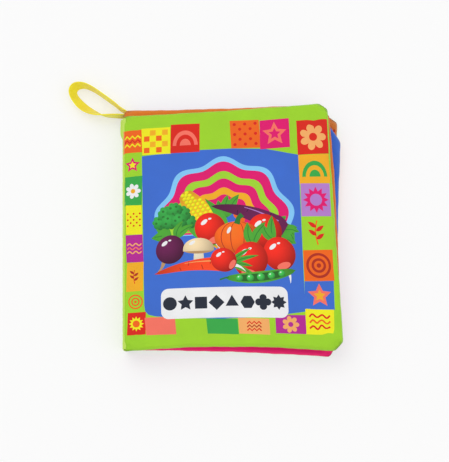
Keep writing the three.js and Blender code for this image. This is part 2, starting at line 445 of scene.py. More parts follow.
# Motifs of the patches. Each takes its middle, half its size and two inks


def motif_daisy(sheet, x, y, size, ink, second):
    sheet.add(scallop(x, y, size, 7, 0.42, corners=70), ink)
    sheet.add(disc(x, y, size * 0.3), second)


def motif_star(sheet, x, y, size, ink, second):
    sheet.add(star(x, y, size, inner=0.48), ink)
    sheet.add(star(x, y, size * 0.5, inner=0.48), second)


def motif_rings(sheet, x, y, size, ink, second):
    for reach, colour in ((1, ink), (0.8, second), (0.58, ink), (0.38, second), (0.18, ink)):
        sheet.add(disc(x, y, size * reach), colour)


def motif_sun(sheet, x, y, size, ink, second):
    sheet.add(star(x, y, size, points=12, inner=0.66), ink)
    sheet.add(disc(x, y, size * 0.46), second)


def motif_dots(sheet, x, y, size, ink, second):
    for row in range(-2, 3):
        for column in range(-2, 3):
            if (row + column) % 2 == 0:
                sheet.add(disc(x + column * size * 0.42, y + row * size * 0.42, size * 0.13, corners=12), ink)


def motif_zigzag(sheet, x, y, size, ink, second):
    for level, colour in ((0.5, ink), (0.0, second), (-0.5, ink)):
        line = [(size * (k / 3 - 1), size * (level + (0.17 if k % 2 else -0.17))) for k in range(7)]
        sheet.add(turned(band(line, size * 0.2), x, y), colour)


def motif_waves(sheet, x, y, size, ink, second):
    t = np.linspace(-1, 1, 26)
    for level, colour in ((0.55, ink), (0.0, second), (-0.55, ink)):
        line = np.stack([t * size, size * (level + 0.15 * np.sin(t * 7))], axis=1)
        sheet.add(turned(band(line, size * 0.17), x, y), colour)


def motif_sprig(sheet, x, y, size, ink, second):
    stem = turned(band(curve_line(size * 1.9, size * 0.14), size * 0.1), x, y - size * 0.95, math.pi / 2)
    sheet.add(stem, second)
    for level, side in ((-0.5, 1), (-0.2, -1), (0.12, 1), (0.42, -1)):
        turn = math.pi / 2 - side * 0.95
        sheet.add(blade(x - size * 0.08, y + level * size, size * 0.75, size * 0.32, turn), ink)


def motif_check(sheet, x, y, size, ink, second):
    for row in range(4):
        for column in range(4):
            if (row + column) % 2 == 0:
                x0, y0 = x + size * (column / 2 - 1), y + size * (row / 2 - 1)
                sheet.add(box(x0, y0, x0 + size * 0.46, y0 + size * 0.46), ink if row % 2 else second)


def motif_arches(sheet, x, y, size, ink, second):
    for reach, colour in ((1, ink), (0.72, second), (0.44, ink)):
        angle = np.linspace(0, math.pi, 22)
        sheet.add(round_shape(x, y - 0.6 * size, angle, size * reach, 1.25 * size * reach), colour)


def patch(sheet, place, ground, motif, ink, second, skew=0.35):
    """One patch of the border, plain if it has no motif. Its corners are a little off square."""
    x0, y0, x1, y1 = place
    if ground:
        corners = box(x0, y0, x1, y1)
        off = np.array([math.sin(37 * (k + 1) + 5 * x0 + 3 * y0) for k in range(8)]).reshape(4, 2)
        sheet.add(corners + skew * off, ground)
    if motif:
        motif(sheet, (x0 + x1) / 2, (y0 + y1) / 2, 0.43 * min(x1 - x0, y1 - y0), ink, second)


# Vegetables of the print


def foliage(sheet, x, y, turns, length, width, bend=1.0):
    """Leaves from one point, each with its vein. The turns are in degrees."""
    for k, turn in enumerate(turns):
        way = math.radians(turn)
        reach = length * (1 - 0.12 * (k % 3))
        middle = (x + 0.5 * reach * math.cos(way), y + 0.5 * reach * math.sin(way))
        sheet.add(blade(x, y, reach, width, way, bend), "leaf", (middle, reach, 0.35, 0.35))
        sheet.add(turned(band(curve_line(reach * 0.86, bend), 0.35), x, y, way), "forest")


def carrot(sheet, x, y, length, width, turn, bend, inks=("orange", "brick", "peach"), tops=0.42):
    """The crown is at the given point and the tip lies along turn. The inks are for flesh, rings and gleam,
    and tops is how long the leaves are, as a share of the root."""
    back = math.degrees(turn) + 180
    turns = (back - 32, back + 30, back - 12, back + 10)
    foliage(sheet, x, y, turns, length * tops, width * 0.3, bend=0.6)
    line = curve_line(length, bend, 18)
    t = np.linspace(0, 1, 18)
    across = width * (1 - t) ** 0.62 * np.minimum(1, 0.55 + 5 * t)
    middle = tuple(turned([(length * 0.3, width * 0.25)], x, y, turn)[0])
    root = turned(band(line, across + 0.15), x, y, turn)
    sheet.add(root, inks[0], (middle, length * 0.75, 0.4, 0.35))
    for share, side in ((0.14, 1), (0.27, -1), (0.4, 1), (0.53, -1), (0.68, 1)):
        here = int(share * 17)
        reach = across[here] * 0.42
        points = [(line[here, 0], line[here, 1] + side * across[here] * 0.44),
                  (line[here, 0] + 0.5, line[here, 1] + side * (across[here] * 0.44 - reach))]
        sheet.add(turned(band(points, 0.4), x, y, turn), inks[1])
    upper = 1 if math.cos(turn) > 0 else -1
    gleam = line[2:11] + [0, upper * width * 0.2]
    sheet.add(turned(band(gleam, np.linspace(0.9, 0.3, 9) * width * 0.09), x, y, turn), inks[2])


def broccoli(sheet, x, y, size):
    stalk = turned(band([(0, -1.15), (0.02, -0.6), (0, -0.1)], [0.42, 0.36, 0.62]), x, y, 0, size)
    sheet.add(stalk, "lime", ((x - 0.2 * size, y - 0.6 * size), size, 0.1, 0.4))
    heads = ((-0.72, 0.02, 0.4), (0.72, 0.0, 0.42), (-0.4, 0.46, 0.44), (0.42, 0.44, 0.44), (0.0, 0.66, 0.42),
             (-0.24, 0.04, 0.42), (0.26, 0.06, 0.42))
    for k, (across, up, reach) in enumerate(heads):
        px, py, r = x + across * size, y + up * size, reach * size
        head = scallop(px, py, r, 8, 0.16, k * 0.7, corners=48)
        sheet.add(head, "green", ((px - 0.3 * r, py + 0.4 * r), 1.4 * r, 0.1, 0.6))
        for turn in (0.4, 1.9, 3.3, 4.9):
            bud = turned([(0.5 * r, 0)], px, py, turn + k)[0]
            sheet.add(disc(*bud, 0.16 * r, corners=12), "forest")


def radish(sheet, x, y, radius, turn=-90.0, ink="red", leaves=(150, 205, 178), tail=1.1):
    """A round root: turn is where its tail points, in degrees, and its leaves are turned from there. The
    tail is as long as said, in radii."""
    way = math.radians(turn)
    crown, end, low = turned([(-0.8, 0), (0.8, 0), (0.74, 0)], x, y, way, radius)
    foliage(sheet, *crown, [turn + leaf for leaf in leaves], radius * 1.5, radius * 0.5)
    root = band(curve_line(radius * tail, radius * 0.12, 8), np.linspace(0.3, 0.02, 8) * radius)
    sheet.add(turned(root, *end, way), "white" if ink == "red" else "tan")
    sheet.ball(x, y, radius, radius * 0.92, ink, way, 0.45, 0.55)
    if ink == "red":
        sheet.add(disc(*low, radius * 0.2, radius * 0.4, way), "salmon")
    sheet.glint(x - radius * 0.36, y + radius * 0.42, radius * 0.24, radius * 0.12, 0.7)
    sheet.glint(x - radius * 0.02, y + radius * 0.62, radius * 0.1, radius * 0.06, 0.2)


def corn(sheet, x, y, length, width, turn):
    """The foot is at the given point and the ear points along turn."""
    body = []
    for t in np.linspace(0, 1, 26):
        body.append((length * t, width / 2 * (1 - (2 * t - 0.85) ** 2 * 0.62) ** 0.5 if t < 0.98 else 0.6))
    line = np.array(body)
    outline = np.concatenate([line, (line * [1, -1])[::-1]])
    middle = tuple(turned([(length * 0.45, width * 0.15)], x, y, turn)[0])
    sheet.add(turned(outline, x, y, turn), "gold", (middle, length * 0.62, 0.2, 0.35))
    rows = 5
    for row in range(rows):
        for step in range(13):
            t = 0.2 + step * 0.061 + (0.03 if row % 2 else 0)
            half = np.interp(t, np.linspace(0, 1, 26), line[:, 1])
            v = (row - (rows - 1) / 2) / (rows / 2)
            if abs(v) * width / 2 > half:
                continue
            px, py = turned([(length * t, v * half * 0.95)], x, y, turn)[0]
            sheet.ball(px, py, length * 0.027, width * 0.088, "yellow", turn, 0.25, 0.4)
    for side, reach, wide in ((1, 0.82, 0.42), (-1, 0.74, 0.4), (1, 0.5, 0.26)):
        husk = blade(0, 0, length * reach, width * wide, side * 0.2, side * width * 0.22)
        middle = tuple(turned([(length * 0.3, side * width * 0.3)], x, y, turn)[0])
        foot = turned([(0, side * width * 0.12)], x, y, turn)[0]
        sheet.add(turned(husk, *foot, turn), "leaf", (middle, length * 0.6, 0.5, 0.3))


def mushroom(sheet, x, y, size):
    stem = np.array([(-0.26, 0.1), (-0.3, -0.5), (-0.2, -0.72), (0.2, -0.72), (0.3, -0.5), (0.26, 0.1)])
    shade = ((x - 0.1 * size, y - 0.2 * size), size * 0.6, 0.0, 0.3)
    sheet.add(turned(stem, x, y, 0, size), "ivory", shade)
    sheet.add(disc(x, y + size * 0.04, size * 0.84, size * 0.2), "tan")
    angle = np.linspace(0, math.pi, 26)
    cap = np.stack([0.9 * np.cos(angle), 0.78 * np.sin(angle) ** 0.8], axis=1)
    middle = (x - 0.25 * size, y + 0.45 * size)
    sheet.add(turned(cap, x, y, 0, size), "cream", (middle, size * 1.25, 0.3, 0.45))
    sheet.glint(x - 0.36 * size, y + 0.5 * size, size * 0.2, size * 0.09, 0.6)


def pea_pod(sheet, x, y, length, width, turn, bend):
    line = curve_line(length, bend, 20)
    t = np.linspace(0, 1, 20)
    shell = width * np.sin(math.pi * t) ** 0.5 + 0.1
    middle = tuple(turned([(length * 0.45, bend + width * 0.1)], x, y, turn)[0])
    sheet.add(turned(band(line, shell), x, y, turn), "leaf", (middle, length * 0.6, 0.45, 0.35))
    sheet.add(turned(band(line[3:17], 0.68 * shell[3:17]), x, y, turn), "moss")
    for share in (0.2, 0.35, 0.5, 0.65, 0.8):
        px, py = turned([(length * share, bend * math.sin(share * math.pi))], x, y, turn)[0]
        reach = width * 0.34 * (1 - 0.5 * abs(share - 0.5))
        sheet.ball(px, py, reach, reach, "green", 0, 0.8, 0.4)
        sheet.glint(px - reach * 0.35, py + reach * 0.4, reach * 0.24, reach * 0.16, 0.6)
    stalk = turned(band([(-width * 0.5, -width * 0.1), (0, 0), (width * 0.3, 0.1)], 0.8), x, y, turn)
    sheet.add(stalk, "forest")


def pumpkin(sheet, x, y, size):
    """One round body, which four grooves part into five ribs."""
    shade = ((x - 0.25 * size, y + 0.3 * size), size * 1.15, 0.4, 0.5)
    sheet.add(disc(x, y + size * 0.02, size * 0.96, size * 0.7), "orange", shade)
    bow = np.linspace(-1.35, 1.35, 16)
    for side, wide in ((-1, 0.68), (1, 0.68), (-1, 0.28), (1, 0.28)):
        groove = np.stack([side * wide * np.cos(bow) ** 0.8, 0.02 + 0.68 * np.sin(bow)], axis=1)
        sheet.add(turned(band(groove, 0.012 + 0.022 * np.cos(bow)), x, y, 0, size), "brick")
    stalk = band([(0, 0), (0.08, 0.26), (0.24, 0.4)], [0.26, 0.2, 0.22])
    sheet.add(turned(stalk, x, y + size * 0.6, 0, size), "forest")
    sheet.glint(x - size * 0.34, y + size * 0.34, size * 0.16, size * 0.07, 1.1)


# Pages


# Patches beside the spine on the front cover: place, ground, motif and its two inks
LEFT_PATCHES = (
    ((0.5, 40.0, 10.4, 52.4), "orange", motif_zigzag, "yellow", "red"),
    ((0.7, 27.4, 10.4, 40.0), None, motif_star, "magenta", "yellow"),
    ((1.2, 12.6, 10.4, 27.4), "green", motif_daisy, "white", "gold"),
    ((1.8, -2.4, 10.4, 12.6), "yellow", motif_dots, "red", "red"),
    ((2.1, -17.0, 10.5, -2.4), "violet", motif_waves, "peach", "salmon"),
    ((2.3, -31.2, 10.7, -17.0), "gold", motif_sprig, "brick", "red"),
    ((2.5, -42.0, 11.0, -31.2), None, motif_rings, "orange", "lime"),
    ((2.7, -53.0, 11.4, -42.0), "red", motif_sun, "yellow", "orange"),
)


def cover_print():
    sheet = Sheet(colours().cover)
    low = [(87.4, -42.6), (70, -45.4), (48, -46.5), (28, -45.6), (16, -44.2)]
    corner = [(12.9, -43.2), (11.4, -41.4), (11.0, -38.5)]
    top = [(10.4, 37.9), (26, 38.8), (40, 39.4), (56, 39.3), (72, 38.2), (88.4, 34.4)]
    panel = spaced(np.array(corner[::-1] + low[::-1] + top[::-1]))
    sheet.add(panel, tuple(colours().blue), ((49, -3), 74, 0.06, 0.06))
    for reach, ink in ((32.4, "sky"), (29.8, "magenta"), (25.0, "lime"), (21.4, "magenta"), (17.0, "gold"),
                       (13.6, "magenta"), (9.4, "orange"), (5.6, "blue")):
        angle = np.linspace(-0.2, math.pi + 0.2, 90)
        wave = reach * (1 + 0.05 * np.cos(9 * (angle - math.pi / 2)))
        sheet.add(round_shape(50.6, 1.5, angle, 1.02 * wave, wave), ink)
    cover_border(sheet)
    cover_harvest(sheet)
    plaque = soft_box(19, -45.9, 79.4, -30.9, 3.6)
    sheet.add(plaque, "white", ((49, -38), 40, 0.0, 0.04))
    plaque_row(sheet, 23.2, -38.4, 7.4)
    return sheet


def cover_border(sheet):
    top = (
        ((10.4, 38.2, 24.6, 52.8), "yellow", motif_check, "gold", "orange"),
        ((24.6, 38.8, 39.6, 53.4), "red", motif_arches, "salmon", "red"),
        ((54.8, 39.2, 69.8, 53.8), "orange", motif_dots, "red", "red"),
        ((69.8, 38.2, 84.4, 53.2), "magenta", motif_star, "salmon", "magenta"),
    )
    right = (
        ((88.4, 34.4, 104.2, 52.0), "red", motif_daisy, "peach", "red"),
        ((88.4, 19.6, 103.8, 34.4), "gold", motif_arches, "green", "gold"),
        ((88.3, 3.8, 103.4, 19.6), "lilac", motif_sun, "magenta", "lilac"),
        ((88.2, -12.8, 102.8, 3.8), None, motif_sprig, "red", "orange"),
        ((88.1, -28.0, 102.2, -12.8), "orange", motif_rings, "brick", "orange"),
        ((87.6, -41.6, 101.6, -28.0), "blue", motif_star, "salmon", "gold"),
        ((87.1, -53.0, 101.0, -41.6), "yellow", motif_waves, "red", "orange"),
    )
    foot = (
        ((11.4, -53.6, 25.6, -44.4), "salmon", None, None, None),
        ((40.4, -54.0, 55.4, -46.3), "green", None, None, None),
        ((55.4, -54.0, 70.4, -46.2), "peach", motif_zigzag, "red", "brick"),
        ((73.2, -53.6, 87.1, -44.2), "violet", motif_daisy, "peach", "violet"),
    )
    for place, ground, motif, ink, second in LEFT_PATCHES + top + right + foot:
        patch(sheet, place, ground, motif, ink, second)


def cover_harvest(sheet):
    """A heap of vegetables over the lower half of the rainbow."""
    foliage(sheet, 26, -1, (128, 152, 175, 200, 222), 12, 6.5)
    foliage(sheet, 73, -6, (52, 30, 6, -18, -42), 12.5, 6.5)
    foliage(sheet, 52, 4, (62, 88, 116, 140), 13, 5)
    corn(sheet, 50, -9, 33, 12.5, math.radians(126))
    carrot(sheet, 80, -3, 38, 10.5, math.radians(160), -2.4, ("beet", "plum", "lilac"), 0.18)
    broccoli(sheet, 26, 2.5, 9.6)
    radish(sheet, 70, -3.4, 8.8, -60, leaves=())
    radish(sheet, 43.5, -1.5, 8.2, -70, leaves=())
    pumpkin(sheet, 56.5, -6.5, 11.6)
    radish(sheet, 23.8, -11.2, 7.4, -120, "beet", leaves=(160, 190))
    radish(sheet, 76.5, -14.8, 8.4, -72, leaves=(165, 195), tail=1.0)
    mushroom(sheet, 37.5, -12.5, 8.4)
    radish(sheet, 62.5, -17.6, 9.0, -100, leaves=(160, 200), tail=0.4)
    carrot(sheet, 52, -19.6, 36, 7.6, math.radians(186), -1.8, ("vermilion", "brick", "peach"))
    radish(sheet, 49.5, -17.4, 6.4, -30, leaves=())
    pea_pod(sheet, 50, -26.4, 34, 5.6, math.radians(6), -1.6)


def plaque_row(sheet, x, y, pitch):
    """A plain row of counting shapes on the white plaque."""
    size = 3.3
    square = box(-size * 0.88, -size * 0.88, size * 0.88, size * 0.88)
    shapes = (
        disc(0, 0, size),
        star(0, 0, size * 1.2, inner=0.5),
        square,
        turned(square, 0, 0, math.pi / 4, 0.92),
        disc(0, 0, size * 1.1, corners=3, turn=math.pi / 2),
        disc(0, 0, size * 1.04, corners=6),
        scallop(0, 0, size * 1.16, 4, 0.4, corners=48),
        star(0, 0, size * 1.12, points=8, inner=0.66),
    )
    for k, shape in enumerate(shapes):
        sheet.add(turned(shape, x + k * pitch, y), "navy")


def page_border(sheet, ink, second):
    """Two rows of dots near the edges of an inner page."""
    pitch = 10.6
    rows = [(k, 10 + k * pitch, y) for k in range(9) for y in (-53, 53)]
    columns = [(k + 1, x, (k - 4) * pitch) for k in range(9) for x in (10, 94.8)]
    for k, x, y in rows + columns:
        sheet.add(disc(x, y, 2.1 if k % 2 else 1.4, corners=18), ink if k % 2 else second)


def inner_page(ground, second, draw):
    sheet = Sheet(ground)
    page_border(sheet, "yellow", second)
    sheet.add(scallop(52, 0, 36, 11, 0.1), second)
    sheet.add(scallop(52, 0, 33.4, 11, 0.1), "white")
    draw(sheet)
    return sheet


def back_print():
    sheet = Sheet(colours().cover)
    grounds = ("orange", "violet", "yellow", "red", "green", "gold", "lilac")
    motifs = (motif_star, motif_rings, motif_dots, motif_daisy, motif_check, motif_waves, motif_sun)
    inks = ("yellow", "peach", "red", "salmon", "white", "brick", "magenta")
    for k in range(14):
        row, column = divmod(k, 7)
        place = (8 + column * 13, 34 - row * 82, 19 + column * 13, 45 - row * 82)
        patch(sheet, place, grounds[(k * 3) % 7], motifs[k % 7], inks[(k * 3) % 7], "yellow")
    sheet.add(soft_box(14, -28, 92, 24, 9), tuple(colours().blue))
    rings = ((21, "sky"), (19, "magenta"), (15.4, "lime"), (12, "magenta"), (8, "gold"), (4.6, "blue"))
    for reach, ink in rings:
        sheet.add(scallop(53, -2, reach, 6, 0.14), ink)
    return sheet


def harvest_end(sheet):
    """A mushroom, and a patch at the head of the free edge, where it shows past the leaf above."""
    mushroom(sheet, 52, -4, 24)
    edge, head = sizes().page_width / MM, sizes().page_height / MM / 2
    patch(sheet, (92, 31, edge, head), "rust", motif_dots, "brick", "brick", skew=0)


def page_prints():
    """The print of the lower and of the upper panel of each leaf."""
    c = colours()
    orange, blue, magenta = tuple(c.orange), tuple(c.blue), tuple(c.magenta)
    return (
        (back_print(), inner_page(magenta, "salmon", harvest_end)),
        (inner_page(magenta, "peach", lambda s: radish(s, 52, 0, 15)),
         inner_page(blue, "sky", lambda s: pea_pod(s, 26, -4, 52, 13, 0.1, 5))),
        (inner_page(blue, "lime", lambda s: corn(s, 62, -25, 52, 20, math.radians(112))),
         inner_page(orange, "gold", lambda s: pumpkin(s, 52, -3, 22))),
        (inner_page(orange, "peach", lambda s: carrot(s, 40, 15, 52, 15, math.radians(-50), 3)),
         cover_print()),
    )


# Printed cloth: the flat print is cut into triangles along its shapes, then laid over the pad


def cut_print(sheet):
    """Points in page millimetres, triangles, and one colour for each corner of each triangle."""
    s = sizes()
    width, half = s.page_width / MM, s.page_height / MM / 2
    across = int(round(width / PRINT_PITCH))
    along = int(round(2 * half / PRINT_PITCH))
    xs = np.linspace(0, width, across + 1)
    ys = np.linspace(-half, half, along + 1)
    grid = np.array([(x, y) for x in xs for y in ys])
    rim = (np.isclose(grid[:, 0], 0) | np.isclose(grid[:, 0], width) | np.isclose(np.abs(grid[:, 1]), half))
    shapes = [meet_grid(spaced(shape), xs, ys) for shape in sheet.points]
    if shapes:
        near = nearest(grid, np.concatenate(shapes))
        grid = grid[rim | (near > PRINT_CLEAR * PRINT_PITCH)]
    points = [tuple(p) for p in grid]
    outlines = []
    for shape in shapes:
        outlines.append(list(range(len(points), len(points) + len(shape))))
        points.extend(tuple(p) for p in shape)
    result = delaunay_2d_cdt([Vector(p) for p in points], corner_cuts(points, xs, ys), outlines, 0, ON_EDGE)
    flat = np.array([tuple(v) for v in result[0]])
    triangles = np.array(result[2])
    owner = np.array([max(ids) if ids else -1 for ids in result[5]])
    inks = np.array([sheet.ground[:3]] + sheet.inks)[owner + 1]
    corners = np.repeat(inks[:, None, :], 3, axis=1)
    for index, shade in enumerate(sheet.shades):
        if shade is None:
            continue
        mine = owner == index
        (x, y), reach, light, dark = shade
        away = np.linalg.norm(flat[triangles[mine]] - [x, y], axis=2) / reach
        fall = np.clip(away, 0, SHADE_END)[..., None] ** SHADE_CURVE
        corners[mine] *= (1 + light * (1 - fall)).clip(1) * (1 - dark * fall).clip(SHADE_DARKEST)
    return flat, triangles, corners.clip(0, 1)


def spaced(outline):
    """An outline with points added on its long sides."""
    points = []
    for start, end in zip(outline, np.roll(outline, -1, axis=0)):
        count = max(1, int(np.linalg.norm(end - start) / OUTLINE_STEP))
        points.extend(start + (end - start) * k / count for k in range(count))
    return np.array(points)


def corner_cuts(points, xs, ys):
    """A diagonal into each corner of the page, so that no triangle has all its points on the edge seam."""
    index = {point: number for number, point in enumerate(points)}
    cuts = []
    for corner, inner in itertools.product(((0, 1), (-1, -2)), repeat=2):
        pair = (xs[corner[0]], ys[inner[0]]), (xs[corner[1]], ys[inner[1]])
        if pair[1] in index:
            cuts.append((index[pair[0]], index[pair[1]]))
    return cuts


def meet_grid(shape, xs, ys):
    """Moves a shape's points on the edge of the page to the nearest grid line, as the two panels of a leaf
    share their points there."""
    side = np.isclose(shape[:, 0], xs[0]) | np.isclose(shape[:, 0], xs[-1])
    end = np.isclose(shape[:, 1], ys[0]) | np.isclose(shape[:, 1], ys[-1])
    shape[side, 1] = ys[np.abs(shape[side, 1, None] - ys).argmin(axis=1)]
    shape[end, 0] = xs[np.abs(shape[end, 0, None] - xs).argmin(axis=1)]
    return shape[np.any(shape != np.roll(shape, 1, axis=0), axis=1)]


def nearest(points, others):
    """Distance from each point to the nearest of the others."""
    best = np.full(len(points), np.inf)
    batch = 400
    for first in range(0, len(others), batch):
        part = others[first:first + batch]
        best = np.minimum(best, np.linalg.norm(points[:, None] - part[None], axis=2).min(axis=1))
    return best


# The pads


def pad_spacing(share):
    """Where a grid line lies, from -1 to 1. Lines are closer together near the edge seam."""
    even = 2 * share - 1
    return 0.5 * even + 0.5 * np.sin(even * math.pi / 2)


def pad_grid():
    """Places of the pad's grid, from -1 to 1 both ways."""
    a = pad_spacing(np.linspace(0, 1, PAD_ACROSS + 1))
    b = pad_spacing(np.linspace(0, 1, PAD_ALONG + 1))
    return np.meshgrid(a, b, indexing="ij")


def pillow(a, b):
    """How far a pad swells: 1 in its middle and 0 at its seams."""
    return ((1 - a * a) * (1 - b * b)).clip(0) ** PILLOW_POWER


def trial_pad(leaf, x, y, heights):
    """Two layers of cloth that share their rim, and the number of each point on the upper and lower one."""
    rng = np.random.default_rng(PAD_SEED + leaf)
    rough = rng.standard_normal((2,) + x.shape) * PAD_ROUGHNESS
    rough[:, 0], rough[:, -1], rough[:, :, 0], rough[:, :, -1] = 0, 0, 0, 0
    layers = np.zeros((2,) + x.shape, int)
    points = []
    for i, j in itertools.product(range(PAD_ACROSS + 1), range(PAD_ALONG + 1)):
        layers[:, i, j] = len(points)
        points.append((x[i, j], y[i, j], heights[i, j] + rough[0, i, j]))
        if i not in (0, PAD_ACROSS) and j not in (0, PAD_ALONG):
            layers[1, i, j] = len(points)
            points.append((x[i, j], y[i, j], -heights[i, j] - rough[1, i, j]))
    faces = []
    for side, i, j in itertools.product((0, 1), range(PAD_ACROSS), range(PAD_ALONG)):
        face = [layers[side, p, q] for p, q in ((i, j), (i + 1, j), (i + 1, j + 1), (i, j + 1))]
        face = face[1:] + face[:1] if (i + j) % 2 else face
        faces.append(face if side == 0 else face[::-1])
    mesh = bpy.data.meshes.new("pad_trial")
    mesh.from_pydata(points, [], faces)
    trial = bpy.data.objects.new("pad_trial", mesh)
    bpy.context.scene.collection.objects.link(trial)
    seam = trial.vertex_groups.new(name="seam")
    seam.add([int(v) for v in np.unique(layers[0][layers[0] == layers[1]])], 1.0, "REPLACE")
    return trial, layers


def pad_plate(height, turn):
    """A stiff plate that stops the cloth."""
    bpy.ops.mesh.primitive_plane_add(size=PLATE_SIZE, location=(0, 0, height), rotation=(turn, 0, 0))
    plate = bpy.context.object
    plate.modifiers.new("stop", "COLLISION")
    plate.collision.thickness_outer = 0.001
    return plate


def settle(trial):
    """Inflates the cloth, and gives where its points come to lie."""
    cloth = trial.modifiers.new("cloth", "CLOTH")
    settings = cloth.settings
    settings.quality = 6
    settings.mass = 0.2
    settings.tension_stiffness = settings.compression_stiffness = 15
    settings.shear_stiffness = 5
    settings.bending_stiffness = 0.05
    settings.air_damping = 2
    settings.use_pressure = True
    settings.uniform_pressure_force = 0.8
    settings.shrink_min = settings.shrink_max = -0.014
    settings.vertex_group_mass = "seam"
    settings.effector_weights.gravity = 0
    cloth.collision_settings.distance_min = 0.0015
    cloth.collision_settings.collision_quality = 3
    cloth.point_cache.frame_start = 1
    cloth.point_cache.frame_end = PAD_FRAMES + 1
    for step in range(1, PAD_FRAMES + 1):
        bpy.context.scene.frame_set(step)
    settled = trial.evaluated_get(bpy.context.evaluated_depsgraph_get()).to_mesh()
    found = np.zeros(len(settled.vertices) * 3)
    settled.vertices.foreach_get("co", found)
    bpy.context.scene.frame_set(1)
    return found.reshape(-1, 3)


def simulate_pad(leaf):
    """Inflates two cloth layers, sewn at the rim and held between two plates. Gives how far each point
    of the upper and the lower layer moved in the plane, and its height over the seam, in metres."""
    s = sizes()
    a, b = pad_grid()
    x, y = a * s.page_width / 2 * PAD_SCALE, b * s.page_height / 2 * PAD_SCALE
    room = s.leaf_thickness / 2 * PAD_SCALE
    trial, layers = trial_pad(leaf, x, y, pillow(a, b) * room * PAD_START)
    plates = [pad_plate(height, turn) for height, turn in ((room, 0), (-room, math.pi))]
    found = settle(trial)[layers]
    for thing in [trial] + plates:
        bpy.data.objects.remove(thing, do_unlink=True)
    moved = found - np.stack([x, y, np.zeros_like(x)], axis=-1)
    return moved / PAD_SCALE


def fitted_pad(leaf, moved):
    """Caps the swelling at the leaf's thickness, and presses the lowest panel flat on the table."""
    limit = sizes().leaf_thickness / 2
    softness = CROWN_SOFTNESS * limit
    for side, sign in ((0, 1), (1, -1)):
        on_table = leaf == 0 and side == 1
        height = (moved[side, ..., 2] * sign).clip(0)
        raised = TABLE_RAISE if on_table else CROWN_RAISE
        height *= raised * limit / np.percentile(height, CROWN_PERCENTILE)
        if on_table:
            height = np.minimum(height, limit)
        else:
            height = limit - softness * np.logaddexp(0, (limit - height) / softness)
            height = (height - limit + softness * np.logaddexp(0, limit / softness)).clip(0)
            height *= limit / height.max()
        moved[side, ..., 2] = height * sign
        moved[side, ..., :2] = moved[side, ..., :2].clip(-PAD_CREEP, PAD_CREEP)
    return moved


def smooth_read(table, u, v):
    """Reads a table between its points with a smooth curve. u and v are in steps of the table."""
    rows, columns = table.shape[:2]
    i = np.floor(u).astype(int).clip(0, rows - 2)
    j = np.floor(v).astype(int).clip(0, columns - 2)

    def weights(t):
        before, here = ((2 - t) * t - 1) * t, (3 * t - 5) * t * t + 2
        after, beyond = ((4 - 3 * t) * t + 1) * t, (t - 1) * t * t
        return np.stack([before, here, after, beyond]) / 2

    wu, wv = weights(u - i), weights(v - j)
    total = np.zeros((len(u),) + table.shape[2:])
    for p in range(4):
        for q in range(4):
            part = table[(i + p - 1).clip(0, rows - 1), (j + q - 1).clip(0, columns - 1)]
            total += (wu[p] * wv[q])[:, None] * part
    return total


def panel_points(leaf, flat, moved, side):
    """Lays points of the flat print over one side of a pad."""
    s = sizes()
    a = (2 * flat[:, 0] / (s.page_width / MM) - 1).clip(-1, 1)
    b = (2 * flat[:, 1] / (s.page_height / MM)).clip(-1, 1)
    steps = np.linspace(0, 1, SPACING_STEPS)
    u = np.interp(a, pad_spacing(steps), steps) * PAD_ACROSS
    v = np.interp(b, pad_spacing(steps), steps) * PAD_ALONG
    shift = smooth_read(moved[side], u, v)
    x, y = leaf_outline(leaf, a, b)
    reach = np.maximum(np.abs(a), np.abs(b))
    rim = reach > 1 - ON_EDGE
    shift[rim] = 0
    shift[:, :2] *= (1 - reach ** CREEP_FADE)[:, None]
    shift[:, :2] += seam_wander(leaf, a, b)
    sign = -1 if side else 1
    least = np.where(rim, 0, LEAST_SWELL * pillow(a, b) * s.leaf_thickness / 2)
    height = leaf_middle(leaf) + sign * np.maximum(sign * shift[:, 2], least)
    return np.stack([x + shift[:, 0], y + shift[:, 1], np.maximum(height, 0)], axis=1)


def seam_wander(leaf, a, b):
    """Small wander of a seam sewn by hand-fed cloth, strongest at the rim."""
    off = np.zeros((len(a), 2))
    for wave, size in SEAM_WAVES:
        off[:, 0] += size * np.sin(wave * b + leaf * 2.1) * np.abs(a) ** RIM_FADE
        off[:, 1] += size * np.sin(wave * a + leaf * 1.3 + 1) * np.abs(b) ** RIM_FADE
    off[:, 0] *= np.where(a < 0, SPINE_WANDER, 1)
    return off * MM * (1 - (np.abs(a * b)) ** CORNER_FADE)[:, None]


def mesh_piece(name, points, faces, material):
    """A smooth piece from its points and faces."""
    mesh = bpy.data.meshes.new(name)
    mesh.from_pydata([tuple(p) for p in points], [], [tuple(int(v) for v in f) for f in faces])
    mesh.materials.append(material)
    piece = bpy.data.objects.new(name, mesh)
    bpy.context.scene.collection.objects.link(piece)
    mesh.polygons.foreach_set("use_smooth", [True] * len(mesh.polygons))
    return piece


def set_uv(piece, corners):
    layer = piece.data.uv_layers.new(name="cloth")
    layer.data.foreach_set("uv", np.asarray(corners, np.float32).ravel())


